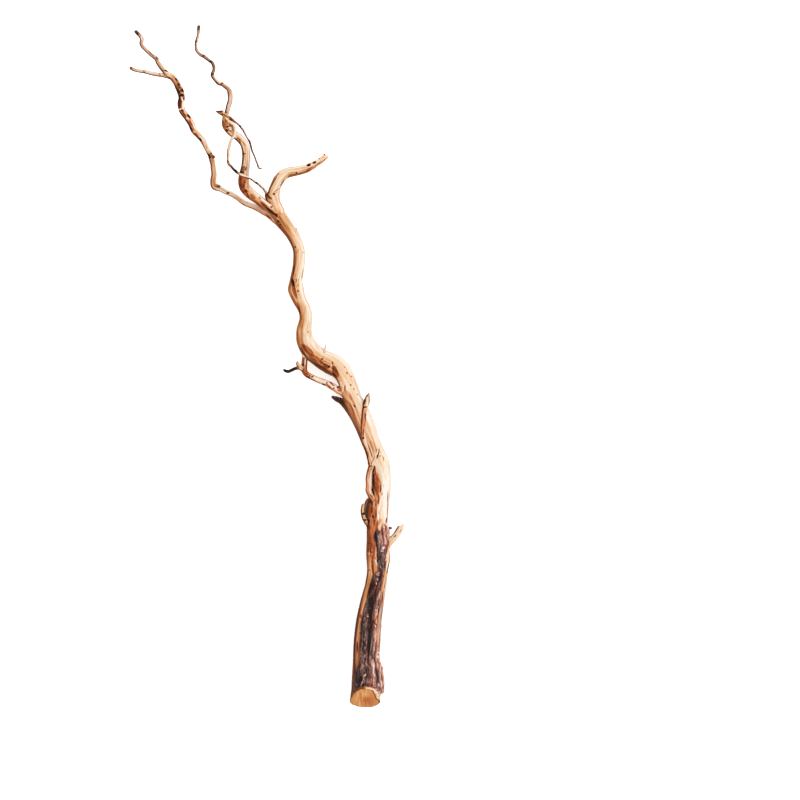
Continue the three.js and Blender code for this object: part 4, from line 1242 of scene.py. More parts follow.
LEFT_MARKS = [
    # The tips
    (137.5, 34, 1.6, 1.2, -45, -0.4), (141.8, 38.5, 2.5, 0.6, -80, 0.3),
    (151, 53.5, 4, 0.6, -45, -0.35, -0.2), (157, 58.5, 1.8, 1, -60, -0.35, 0.1, -0.6),
    (162.5, 65.5, 4, 0.6, -50, -0.3, -0.1), (167.5, 71.2, 3.2, 1, -15, -0.7, 0, 0.3),
    (168.5, 77.8, 2.6, 0.8, -30, -0.5, 0.1, 0.2), (176.4, 79.7, 1.8, 0.9, -58, -0.6, 0.1, 0.2),
    (174.5, 81, 3.5, 1.5, -55, 0.06, 0.4), (173, 84.5, 8, 1.3, -53, -0.2, 0.1),
    (178.9, 84.8, 1.3, 1.1, 0, -0.9, 0.1, 0.3), (181.6, 87, 3, 0.8, -60, 0.2, -0.7),
    (178.3, 87, 3, 1.6, -60, -0.06, 0.2), (180.2, 89.4, 1, 0.9, 0, 0.16, -0.6),
    # The black nodes
    (182.6, 90.4, 1.6, 1.3, -70, -0.6, -0.1, 0.3), (178.2, 91.4, 2.6, 1.4, -50, -0.4, -0.1, 0.2),
    (182.2, 93, 1.6, 0.9, 0, 0.2, -0.6), (181.8, 95.6, 3, 1.3, 5, -0.4, 0.2, 0.2),
    (179.5, 98.5, 2.6, 1, 80, -0.3), (181.8, 98.6, 2.6, 1, -75, 0.3, 0.3),
    (184.2, 98.6, 2.6, 0.9, 85, -0.6, -0.1), (179.8, 103, 6, 2.2, 88, -0.08, 0.6),
    (178.3, 103, 5, 0.9, 88, -0.16, 0.2), (183.4, 105, 5.5, 1.3, 84, 0.3, -0.2, -0.2),
    (180.4, 109.4, 1.8, 0.9, 10, 0.45, 0, -0.2), (182.6, 110.6, 1.6, 1, -45, -0.6, 0.2, 0.2),
    # Between the nodes
    (184.5, 114.5, 4.2, 0.6, -55, -0.35, 0.2, 0.1), (188.8, 116.4, 2.8, 1, -48, -0.7, -0.2, 0.3),
    (187.4, 118.4, 1, 0.8, 0, 0.3), (187.6, 118.6, 2.4, 1, -48, 0.22, 0.2),
    (186.5, 121.5, 11, 1.2, -56, -0.16, 0.4, 0.2), (191, 123.5, 3.5, 1.1, -62, -0.14, 0.4),
    (194, 126, 6, 1, -60, 0.15, -0.1), (191, 128, 4, 0.9, -57, -0.3, 0.2, 0.2),
    (194.2, 132, 2, 1.4, -40, 0.14, 0.1), (196.5, 135.5, 3.4, 1.4, -50, -0.2, 0.2, 0.2),
    (199.8, 139.8, 2.4, 1.7, -45, -0.55, 0.3, 0.2), (205.5, 142.5, 8, 0.9, -50, 0.1),
    # The knee and the pink root
    (211.5, 153.5, 1.5, 0.9, 40, -0.45, -0.2, -0.2), (209, 156, 2.8, 1.5, -60, -0.7, -0.2, 0.4),
    (212.5, 157, 2, 0.8, -60, -0.6, 0.1, 0.2), (217.3, 186, 2.2, 1.2, -28, -0.7, 0.2, 0.3),
    (228, 193, 1.8, 1.1, 0, -0.55, 0.3, 0.3), (242.8, 204.8, 1.8, 1.1, -30, -0.5, 0.1, 0.2),
    (243.5, 205.3, 1.8, 0.9, -10, -0.4, -0.3), (262.5, 209.5, 1.6, 0.7, -30, -0.1, 0.4, 0.2),
    (265.5, 212.8, 6, 1.3, -36, 0.06, 0.7), (270.6, 213.9, 3.8, 0.6, -40, 0.4, 0.2, -0.3),
    (267.2, 214.6, 3.2, 0.6, -40, -0.26, 0.3, 0.3), (269.5, 217.3, 3.6, 0.7, -35, -0.4, 0.1, 0.3),
    (268, 219.5, 6, 1.2, -38, -0.08, 0.4),
]
print("marks on the left limb", len(LEFT_MARKS))

# %% The left limb
ELBOW_SPUR = [[-225, 769, 5, 2.8], [-217, 768, 8, 1.5]]
NODE_SPUR = [[-232, 813, 13, 3.2], [-225, 812, 16, 1.4]]
ON_LEFT_LIMB = [("left_limb", 2, 0)]
left_parts = [
    limb(
        LINES["left_limb"], 0.6, 60, LEFT_SHADES, marks=LEFT_MARKS, knots=strewn_knots("left_limb", 16, 12),
        seed=40, joins=[("trunk", 7, 0.05), ("middle_limb", 4, 0.2)], ragged=0.4, tip=1.0, relief=1.3,
        wobble=0.5,
    ),
    limb(
        LINES["left_side_tip"], 0.7, 30,
        [
            (0, 0.74, 0.14, 0, 0.3), (3, 0.67, 0.2, -0.3, 0.35), (5, 0.63, 0.22, -0.3, 0.35),
            (6, 0.5, 0.2, -0.2, 0.3), (7, 0.1, 0.05, -0.3, 0),
        ],
        marks=[(144.3, 72.3, 1.6, 0.7, -60, -0.35, 0.1, 0.2), (160, 75, 1.8, 0.6, -70, -0.25, 0.2, 0.2)],
        seed=41, joins=ON_LEFT_LIMB, ragged=0.5, tip=0.8,
    ),
    stub(ELBOW_SPUR, [(0, 0.6, 0.1, 0.6, 0.2), (1, 0.3, 0.1, 0.4, 0.1)], 42, joins=ON_LEFT_LIMB),
    stub(NODE_SPUR, [(0, 0.4, 0.1, 0.3, 0.2), (1, 0.2, 0.1, 0, 0.1)], 43, joins=ON_LEFT_LIMB),
]
make_piece("left_limb", "left_limb_wood", left_parts, [BARE_WOOD])

# %% [markdown]
# The right limb is short, thick and as pale as the trunk. It broke off slantwise, and one splinter of the
# break still stands up: a slanted end does for the break, and a small pointed stub for the splinter.

# %% The right limb
RIGHT_SHADES = [
    (0, 0.73, 0.12, 0.2, 0.15), (1, 0.72, 0.16, 0.2, 0.2), (2, 0.71, 0.16, 0.15, 0.25),
    (4, 0.75, 0.14, 0, 0.2), (5, 0.76, 0.14, 0, 0.14), (7, 0.76, 0.16, 0.1, 0.14),
    (8, 0.76, 0.18, 0, 0.3), (9, 0.76, 0.16, -0.1, 0.5), (10, 0.74, 0.14, -0.2, 0.5),
]
# Long faint marks on the lower edge, and dark ones under the tip and at (281.8, 184), are painted shade
RIGHT_MARKS = [
    (308.7, 165, 2.1, 1.5, 12, -1, 0, 0.5), (314.6, 162.7, 2.1, 1.2, 20, -0.7, 0, 0.4),
    (296.5, 173, 1.1, 1, 0, -0.45, 0.1, 0.4), (274, 194, 1.5, 1.2, 30, -0.45, 0.2, 0.5),
    (268, 197.5, 5, 3, -65, -0.04, 0.3, -4), (268, 200.2, 1.8, 1.3, -30, -0.7, 0.2, 0.8),
    (266.6, 196, 2.6, 1, -75, 0.04, 0.2), (270.5, 197, 3, 0.7, -60, -0.3, 0, 0.3),
    (275, 180, 9, 0.7, 62, -0.28, 0.1, 0.2), (311, 169, 6, 1.2, 25, -0.2, -0.2),
    (299, 174.8, 13, 1.4, 10, -0.08, 0.1), (286, 178.8, 5, 1.2, 28, -0.06, 0.1),
    (310.5, 163.8, 5, 0.5, 20, -0.25), (276.5, 190.5, 4, 0.6, 35, -0.25, 0.1, 0.3),
    (279, 174.5, 1.8, 0.5, 20, -0.16, 0.1, 0.2), (283, 181.5, 2.5, 0.7, 50, -0.25, 0, 0.1),
    (319.3, 158.7, 0.9, 0.7, 0, -0.35, 0, 0.2), (319.5, 163.2, 6, 0.8, 33, -0.34, -0.1),
    (324.8, 159.4, 2.5, 0.7, 50, -0.25, -0.1), (281.8, 184, 3.2, 0.7, 50, -0.28, -0.3),
    (277, 200.5, 5, 0.6, -75, -0.12, 0, 0.2), (292, 173.5, 4, 2, 8, -0.1),
]
RIGHT_LIMB_POINT = [[-63, 807, 27, 3], [-60, 817, 27.5, 1]]
right_parts = [
    limb(
        LINES["right_limb"], 0.75, 72, RIGHT_SHADES, marks=RIGHT_MARKS,
        knots=strewn_knots("right_limb", 5, 13), seed=50, slant=(0.7, 0.1), ragged=0.5, tip=0.5,
        joins=[("trunk", 8, 0), ("middle_limb", 4, 0.15), ("curling_twig", 2, 0.04)],
    ),
    stub(
        RIGHT_LIMB_POINT, [(0, 0.8, 0.1, 0, 0.2), (1, 0.4, 0.1, -0.3, 0.2)], 51,
        joins=[("right_limb", 2, 0)], slant=(0, 0), tip=1.5,
    ),
]
make_piece("right_limb", "right_limb_wood", right_parts, [BARE_WOOD])

# %% [markdown]
# The middle limb is the darkest. It ends in a burl: a twig once grew round its own wound and closed on
# itself, and left an eye. The eye is a ring of its own round a hollow, and the burl's stub is shaped like
# an arrowhead.

# %% The middle limb's shades and marks
MIDDLE_SHADES = [
    (0, 0.6, 0.1, 0.2, 0.1), (1, 0.64, 0.2, 0.2, 0.1), (3, 0.66, 0.22, 0.2, 0.1),
    (4, 0.66, 0.2, 0.2, 0.16), (5, 0.68, 0.2, 0.2, 0.1), (6, 0.67, 0.18, 0.2, 0.06),
    (7, 0.66, 0.16, 0.1, 0.08), (8, 0.72, 0.18, -0.25, 0.2), (11, 0.75, 0.14, -0.2, 0.16),
    (12, 0.76, 0.12, 0, 0.14), (13, 0.68, 0.12, 0.1, 0.12), (14, 0.58, 0.1, 0.1, 0.14),
    (16, 0.57, 0.1, 0, 0.2), (17, 0.56, 0.1, 0.2, 0.2),
]
MIDDLE_MARKS = [
    # The burl
    (228.3, 120.5, 5.5, 1.2, -55, 0.3, 0.3, -0.3), (230.6, 121, 1.6, 1.2, -50, -0.5, 0.6),
    (224.5, 124, 6, 2, 85, -0.06, 0, 0.2), (233, 125.3, 2.4, 1, -30, 0.3, 0.1),
    (228.4, 126.9, 3, 0.8, 12, -0.5, 0, 0.2), (225.4, 127.8, 2.4, 1.4, -50, 0.06, 0.5),
    (230.4, 128, 3, 1.5, -62, 0.42, 0.1), (229.2, 129.5, 1.7, 0.9, -85, -0.1, -0.8, 0.8),
    (226.9, 130.7, 1.6, 1.2, -40, -0.6, 0, 0.4), (231, 131.3, 1.2, 0.7, -40, -0.3, -0.2, 0.4),
    (230, 133.6, 4.2, 2.2, -50, 0.06), (235.3, 134.5, 3.5, 1.2, -70, 0.1, -0.2),
    # Below the burl
    (235.6, 140, 3, 1, -38, -0.35, 0.1, 0.2), (238.5, 141, 3.8, 2.2, -60, -0.26, 0.5),
    (242.4, 149, 9, 1.2, -74, -0.14, 0.2), (244.5, 154, 1.8, 0.8, 0, -0.25, 0.1, 0.2),
    (243.8, 160, 9, 0.9, 86, -0.06, 0.2, 0.2), (241.5, 164, 8, 1.2, 82, -0.2, 0.1),
    # The lower bend and the root
    (243.6, 167, 1.8, 0.6, 30, -0.25), (247.4, 168, 8, 1.8, 86, -0.06, -0.5),
    (246.4, 168.8, 2.4, 0.6, 75, -0.3, -0.2), (243.6, 169.6, 3.4, 2.2, 60, -0.3, -0.2, -0.5),
    (242, 172.4, 3, 1, -5, -0.4, 0.3), (242.6, 181, 8.5, 3.7, 90, -0.26, 0.8),
    (247.4, 182.5, 8, 1.5, -84, -0.16, 0.4), (244.2, 184, 6, 1.2, 85, -0.1, 0.2, 0.3),
    (244, 190, 7, 3, -62, -0.1, 0.8), (245.8, 191, 2.2, 1.4, -50, -0.35, 0.5, 0.4),
    (257.5, 194, 8, 1.4, -42, 0.18, -0.1), (245, 194.6, 3, 0.8, -38, 0.22, 0, -0.2),
    (248, 195.3, 3, 1, -60, -0.2, 0.8, 0.3), (253, 196.5, 3.4, 2, -40, -0.14, 0.5, 0.2),
    (259.8, 198, 1.6, 1, -55, -0.3, 0, 0.2), (256, 202, 8, 1.2, -42, -0.06, 0.3),
    (267.5, 203.5, 7, 1.1, -42, 0.2), (264.5, 205.5, 5.5, 1.4, -42, -0.28, 0.8, 0.3),
    (271.4, 207, 1.3, 1, -40, -0.45, 0.1, 0.2), (271.5, 211.8, 6.5, 1.5, -38, -0.42, 1, 0.6),
    (276.3, 215.3, 2.2, 1.5, -60, -0.35, 0.8, 0.5),
]
print("marks on the middle limb", len(MIDDLE_MARKS))

# %% The middle limb and its burl
BURL_NECK = [[-211.3, 872.5, 56, 2.8], [-213, 875.6, 57, 1.9]]
ARROWHEAD = [
    [-212.5, 877, 57.5, 4], [-215.5, 877.6, 58, 3.6], [-219, 878.4, 58.4, 2.3], [-223.3, 879.8, 59, 0.8],
]
EYE_ROUTE = [
    [-207.9, 856.4, 59.5, 1], [-204, 858.4, 61.5, 1.2], [-200.6, 858.8, 62.4, 1.2],
    [-198, 855.6, 62.6, 1.2], [-197.4, 851, 62, 1.2], [-197.8, 846.5, 60.5, 1.1],
]
middle_parts = [
    limb(
        smooth_line(MIDDLE_LIMB[:-3] + BURL_NECK), 0.6, 72, MIDDLE_SHADES, marks=MIDDLE_MARKS,
        knots=strewn_knots("middle_limb", 9, 14), seed=60, relief=1.2, ragged=0.6, tip=1.0,
        joins=[
            ("trunk", 5, 0.1), ("right_limb", 4, 0.15), ("left_limb", 3, 0.2), ("top_shoot", 2.5, 0),
            ("curling_twig", 1.5, 0.1),
        ],
    ),
    stub(
        ARROWHEAD,
        [(0, 0.5, 0.04, 0.1, 0.1), (1, 0.48, 0.04, 0, 0.1), (2, 0.4, 0.04, 0, 0), (3, 0.1, 0.05, 0, 0)],
        62, sides=32, step=0.5, slant=(0, 0), tip=1.0,
        marks=[
            (220.6, 111.7, 2, 0.7, 5, -0.6, 0, 0.2), (219.3, 115, 3, 0.6, -33, -0.35),
            (222.4, 114.8, 1.4, 0.7, 70, -0.2, 0.2),
        ],
    ),
    stub(
        EYE_ROUTE, [(0, 0.3, 0.05, 0, 0), (2, 0.3, 0.05, 0, 0), (4, 0.36, 0.05, 0, 0), (5, 0.5, 0.1, 0.1, 0)],
        61, sides=18, step=0.6, slant=(0, 0), ragged=0,
    ),
]
make_piece("middle_limb", "middle_limb_wood", middle_parts, [BARE_WOOD])

# %% [markdown]
# Twigs are too thin for flutes. What shows on them is the node every few centimetres, where a bud was: a
# swelling that is darker than the rest. Its marks are listed one by one, and large strewn knots give the
# twigs their lumpy look. The top shoot goes on from the burl.

# %% The top shoot
TOP_SHADES = [
    (0, 0.64, 0.1, -0.1, 0.3), (1, 0.66, 0.12, -0.6, 0.4), (3, 0.67, 0.12, -0.65, 0.45),
    (5, 0.62, 0.16, -0.5, 0.4), (6, 0.6, 0.2, -0.3, 0.38), (8, 0.62, 0.26, -0.45, 0.4),
    (9, 0.48, 0.2, -0.6, 0.3), (10, 0.42, 0.12, -0.6, 0.2), (12, 0.38, 0.16, -0.6, 0.2),
    (14, 0.5, 0.14, -0.5, 0.2), (16, 0.56, 0.24, -0.5, 0.35), (18, 0.62, 0.22, -0.6, 0.35),
    (20, 0.56, 0.14, -0.6, 0.3), (21, 0.24, 0.05, -0.6, 0.1),
]
TOP_MARKS = [
    (222.2, 83.8, 1.5, 1.1, 30, -0.35, 0.4, -0.7), (213, 74.5, 1.6, 1.2, 0, -0.3, -0.1, -0.4),
    (210.5, 62, 1.8, 1, -30, -0.3, 0, 0.1), (203.7, 56, 1.5, 1.1, 0, -0.35, 0.1, -0.9),
    (196, 41.5, 1.6, 1.2, 80, -0.5, -0.2), (199, 28.5, 2.4, 1, 90, -0.3, -0.3),
    (226.5, 112.5, 1.5, 1, 0, -0.3, 0.2),
]
top_shell = limb(
    LINES["top_shoot"], 0.7, 30, TOP_SHADES, marks=TOP_MARKS, seed=70, wobble=0.5,
    knots=strewn_knots("top_shoot", 9, 17, 2, 0.5, 0.8), joins=[("middle_limb", 2.5, 0.1)],
    ragged=0.5, tip=0.8, relief=1.2,
)
make_piece("top_shoot", "top_shoot_wood", [top_shell], [TWIG_SKIN])

# %% [markdown]
# The curling twig leaves the fork, climbs over the middle limb and closes round the burl. It is pale
# where it arches highest and nearly black just beyond, where it goes down into the crook.

# %% The curling twig
CURL_SHADES = [
    (0, 0.6, 0.1, -0.3, 0.2), (2, 0.6, 0.16, -0.5, 0.3), (3, 0.54, 0.16, -0.4, 0.3),
    (4, 0.7, 0.2, -0.3, 0.3), (5, 0.84, 0.12, 0, 0.25), (6, 0.88, 0.06, 0, 0.2), (7, 0.26, 0.08, 0, 0.1),
    (8, 0.08, 0.03, 0, 0), (9, 0.2, 0.1, -0.2, 0.1), (10, 0.46, 0.2, 0, 0.3), (11, 0.64, 0.16, 0, 0.4),
    (13, 0.82, 0.08, -0.2, 0.15), (15, 0.84, 0.08, -0.1, 0.15), (17, 0.84, 0.08, 0.2, 0.1),
    (18, 0.84, 0.06, 0.4, 0.05), (19, 0.78, 0.06, 0.5, 0.05),
]
CURL_MARKS = [
    (256.8, 183, 1.5, 1, -50, -0.4, 0, -0.3), (236, 171.5, 2.2, 1.3, -50, -0.3, 0, -0.5),
    (249, 178.8, 4, 0.6, -20, -0.35), (228, 161.5, 1.5, 0.8, -50, -0.4),
]
curl_shell = limb(
    LINES["curling_twig"], 0.65, 26, CURL_SHADES, marks=CURL_MARKS, seed=71, wobble=0.4,
    knots=strewn_knots("curling_twig", 8, 18, 2, 0.45, 0.75),
    joins=[("right_limb", 2.5, 0.04), ("middle_limb", 1.5, 0.03)], tip=1.0, relief=1.2,
)
make_piece("curling_twig", "curling_twig_wood", [curl_shell], [TWIG_SKIN])

# %% [markdown]
# The hanging twig is hair-thin and grey-brown. Its solid is a little thicker than the photograph shows
# it, so its radius is brought back here.

# %% The hanging twig
HANG_THINNED = 0.85
HANG_SHADES = [
    (0, 0.56, 0.12, 0.3, 0.1), (1, 0.46, 0.12, 0.2, 0.1), (2, 0.48, 0.14, -0.3, 0.1),
    (4, 0.5, 0.18, -0.6, 0.15), (6, 0.44, 0.14, -0.7, 0.2), (7, 0.36, 0.1, -0.5, 0.2),
    (9, 0.44, 0.14, -0.7, 0.2), (11, 0.56, 0.1, -0.8, 0.2),
]
HANG_MARKS = [
    (230.8, 120.8, 2.2, 1.3, -35, -0.3, 0.2, -0.3), (240, 126.5, 1.3, 1, -60, -0.4, 0, -0.3),
    (243.2, 132, 1.6, 1, -60, -0.5, 0, -0.3), (249.3, 142.5, 2.6, 1.1, -65, -0.5, 0, -0.3),
    (251, 147, 2, 0.9, -75, -0.3), (232, 119.5, 3, 0.8, -35, -0.2, 0.1), (258, 166, 1.2, 0.9, -60, -0.3),
]
thin_line = LINES["hanging_twig"] | {"radius": LINES["hanging_twig"]["radius"] * HANG_THINNED}
hang_shell = limb(
    thin_line, 0.65, 22, HANG_SHADES, marks=HANG_MARKS, seed=72, wobble=0.4,
    knots=strewn_knots("hanging_twig", 7, 19, 2, 0.5, 0.8), joins=[("middle_limb", 1.5, 0)],
    ragged=0.5, tip=0.8, relief=1.3,
)
make_piece("hanging_twig", "hanging_twig_wood", [hang_shell], [TWIG_SKIN])

# %% [markdown]
# The side twig loops back beside the trunk. Its last stretch stands up thicker and redder than the rest,
# with a black twiglet and a pale spur. It is one line with a new end, and two stubs.

# %% The side twig
SIDE_SHADES = [
    (0, 0.74, 0.1, 0.3, 0.04), (1, 0.76, 0.1, 0.7, 0.04), (2, 0.8, 0.1, 0.7, 0.06),
    (3, 0.9, 0.06, 0.2, 0.14), (4, 0.84, 0.1, 0.3, 0.2), (5, 0.68, 0.16, 0.7, 0.2),
    (6, 0.5, 0.14, 1.2, 0.12), (7, 0.52, 0.06, 1.2, 0.1), (8, 0.56, 0.06, 1.2, 0.1),
    (9, 0.6, 0.06, 1.1, 0.1), (10, 0.8, 0.1, 0.6, 0.1),
]
SIDE_MARKS = [
    (331.8, 384, 4.2, 0.8, -45, -0.38, 0.6, 0.2), (328.6, 386, 4.2, 0.8, -42, -0.38, 0.6, 0.2),
    (327, 382.8, 1.2, 0.8, 45, -0.35, 0.5), (333.8, 388.3, 1.2, 0.8, 45, -0.4, 0.4),
    (330.4, 385.2, 2.2, 0.8, -43, -0.04, 0.7), (339.7, 389, 2.7, 2.4, -50, -0.28, 0.8, -0.6),
    (337.6, 387.4, 1.1, 0.9, 20, -0.45, 0.4, 0.2), (335.6, 386.2, 1.8, 0.9, 60, 0.25, -0.2),
    (306.5, 374.5, 2.6, 1.6, -20, -0.06, 0.6, -0.3), (308, 377.6, 2.2, 1.1, -25, -0.5, 0.2, 0.2),
    (312.5, 376.6, 1.4, 0.9, 40, -0.4, 0.4, 0.1), (309.6, 376, 1.2, 0.7, 60, -0.3, 0.4, 0.1),
    (316, 379, 4, 1.4, -28, 0.14, -0.2), (324, 384.6, 2.4, 0.9, -25, -0.6, -0.4),
    (315, 381.6, 7, 0.8, -26, -0.16), (304.5, 356, 1.6, 1.3, 0, 0.4, -0.3, -0.3),
    (307.6, 357, 1.6, 1, 75, 0.4, -0.1, -0.2), (305.2, 361, 4, 0.8, 88, 0.2, 0.2),
    (303.6, 362, 5, 0.9, 88, -0.16, 0.6), (302.8, 365.4, 2, 1, 75, -0.4, 0, 0.2),
    (306.4, 364, 7, 0.8, 88, -0.2, 0.4), (302.2, 368, 4, 0.8, 84, -0.1, 0.3),
    (303, 371, 2.6, 1.1, 60, -0.12, 0.2),
]
SIDE_TWIG_END = [
    [-88, 486, 13.5, 4.2], [-91.4, 492.6, 13, 4.4], [-91, 502, 13, 4.1], [-90.3, 510, 13.5, 3.8],
    [-90, 518, 14, 3.2],
]
BLACK_TWIGLET = [
    [-92, 491, 13.5, 2.8], [-98, 495, 16, 2.5], [-104, 494.7, 17, 2.3], [-112, 491.2, 15.5, 2.3],
    [-116, 490, 15, 2.4], [-122.5, 492.2, 13, 1.8],
]
PALE_SPUR = [
    [-91, 494, 14, 2.8], [-97.5, 497.5, 16, 2.8], [-101, 501, 17, 2.3], [-101.5, 505.5, 17.5, 1.2],
]
ON_SIDE_TWIG = [("side_twig", 1.5, 0)]
side_parts = [
    limb(
        smooth_line(SIDE_TWIG[:6] + SIDE_TWIG_END), 0.6, 40, SIDE_SHADES, marks=SIDE_MARKS, seed=73,
        knots=strewn_knots("side_twig", 4, 15), joins=[("trunk", 4, 0.1)], relief=1.6,
    ),
    stub(
        BLACK_TWIGLET,
        [(0, 0.6, 0.2, 0.5, 0.2), (1, 0.78, 0.2, 0.1, 0.3), (2, 0, 0, 0, 0), (5, 0, 0, 0, 0)],
        74, streaky=0.3, joins=ON_SIDE_TWIG,
    ),
    stub(PALE_SPUR, [(0, 0.5, 0.2, 0.4, 0.2), (1, 0.7, 0.1, 0.2, 0.4)], 75, joins=ON_SIDE_TWIG),
]
make_piece("side_twig", "side_twig_wood", side_parts, [TWIG_SKIN])

# %% [markdown]
# A stem once grew up along the trunk's face. It leaves the trunk's side, bends out and back like a bow,
# and ends in a long, slanting point; a short spur leaves it half-way. Its root is steeper than its
# solid's.

# %% The climbing stem
STEM_ROOT = [[15, 291, 21, 2.2], [12, 298, 24, 3.4], [8, 304.5, 25, 3.9], [5, 312, 23.5, 4]]
STEM_SHADES = [
    (0, 0.56, 0.1, 0.4, 0.3), (1, 0.62, 0.14, 0.3, 0.25), (3, 0.72, 0.22, 0.5, 0.18),
    (5, 0.73, 0.24, 0.5, 0.2), (7, 0.68, 0.22, 0.5, 0.2), (8, 0.66, 0.18, 0.6, 0.32),
    (10, 0.76, 0.18, 0.6, 0.14), (11, 0.64, 0.18, 0.5, 0.2), (12, 0.55, 0.14, 0.7, 0.25),
    (13, 0.54, 0.14, 0.8, 0.25), (14, 0.68, 0.18, 0.3, 0.25), (15, 0.66, 0.14, 0.1, 0.25),
    (16, 0.62, 0.22, -0.3, 0.35), (17, 0.5, 0.2, -0.5, 0.2),
]
STEM_MARKS = [
    (363.4, 438, 1.4, 1.1, 90, -0.5, 0.3, 0.4), (363.4, 432.5, 4, 0.8, 90, -0.25, 0.3),
    (361.6, 411.5, 5, 0.8, 92, -0.3), (362.2, 419.5, 5, 0.8, 89, -0.14, 0.5),
    (365.8, 418.5, 6, 1, 97, -0.4, 0.3), (364.6, 407.2, 2.8, 0.9, 8, -0.4, 0.2, 0.3),
    (362.6, 408.8, 1.8, 0.9, 70, -0.3), (364.9, 401.4, 3.4, 1.1, 80, -0.3),
    (367.2, 402, 4.5, 1, 88, 0.1, 0.1), (368.9, 401, 5, 0.9, 85, -0.14, -0.6),
    (365.6, 411.5, 4, 1.8, 85, -0.04, 0.9), (363.6, 424, 8, 1.4, 93, -0.02, 0.9),
    (366.2, 443, 9, 1.4, 100, 0.1, 0.8), (369.5, 449.4, 8, 0.5, -69, -0.3, 0.9, 0.3),
    (367.6, 455, 4, 1.3, 88, -0.08, 0.7), (366.5, 454, 8, 1.4, -82, -0.28, 0.4),
    (363.6, 445.5, 5, 0.9, -68, -0.22, 0.4), (372, 464, 2, 0.8, -50, -0.2, 0.3, 0.2),
    (370.3, 466, 1.8, 0.7, 0, -0.3, 0.3, 0.2), (371, 482, 11, 1.4, 89, 0.46, 1.1),
    (368.2, 469, 3, 1, 90, -0.16, 0.3), (371.5, 496, 2.6, 0.7, -50, -0.3, 0.2, 0.3),
    # At (378.1, 453.6): the painted shadow of the stem's spur
    (378.1, 453.6, 5, 0.7, 75, -0.4, 0.2),
]
STEM_SPUR = [[9, 346, 24.5, 2.3], [13.4, 356, 28, 2], [16.4, 364, 30.3, 1.9], [19, 373.5, 32, 1.4]]
stem_parts = [
    limb(
        smooth_line(STEM_ROOT + CLIMBING_STEM[4:]), 0.75, 44, STEM_SHADES, marks=STEM_MARKS,
        knots=strewn_knots("climbing_stem", 3, 16), seed=80, joins=[("trunk", 2.5, 0.06)], relief=1.1,
        ragged=0.8, tip=2.6, slant=(0.4, 0),
    ),
    stub(
        STEM_SPUR, [(0, 0.76, 0.06, 0.9, 0.1), (1, 0.8, 0.06, 0.9, 0.1), (3, 0.84, 0.06, 0.7, 0.2)], 81,
        joins=[("climbing_stem", 2.5, 0), ("trunk", 1.5, 0.1)],
    ),
]
make_piece("climbing_stem", "climbing_stem_wood", stem_parts, [BARE_WOOD])

# %% [markdown]
# Bark holds on longest where it is thickest. What is left is a strip on the upper side of the butt. It is
# a tube round the trunk again: inside the ragged outline its skin stands proud of the wood, outside it
# runs under the wood, out of sight. Its long ridges braid, because the bark tore into a net of plates as
# the trunk grew.

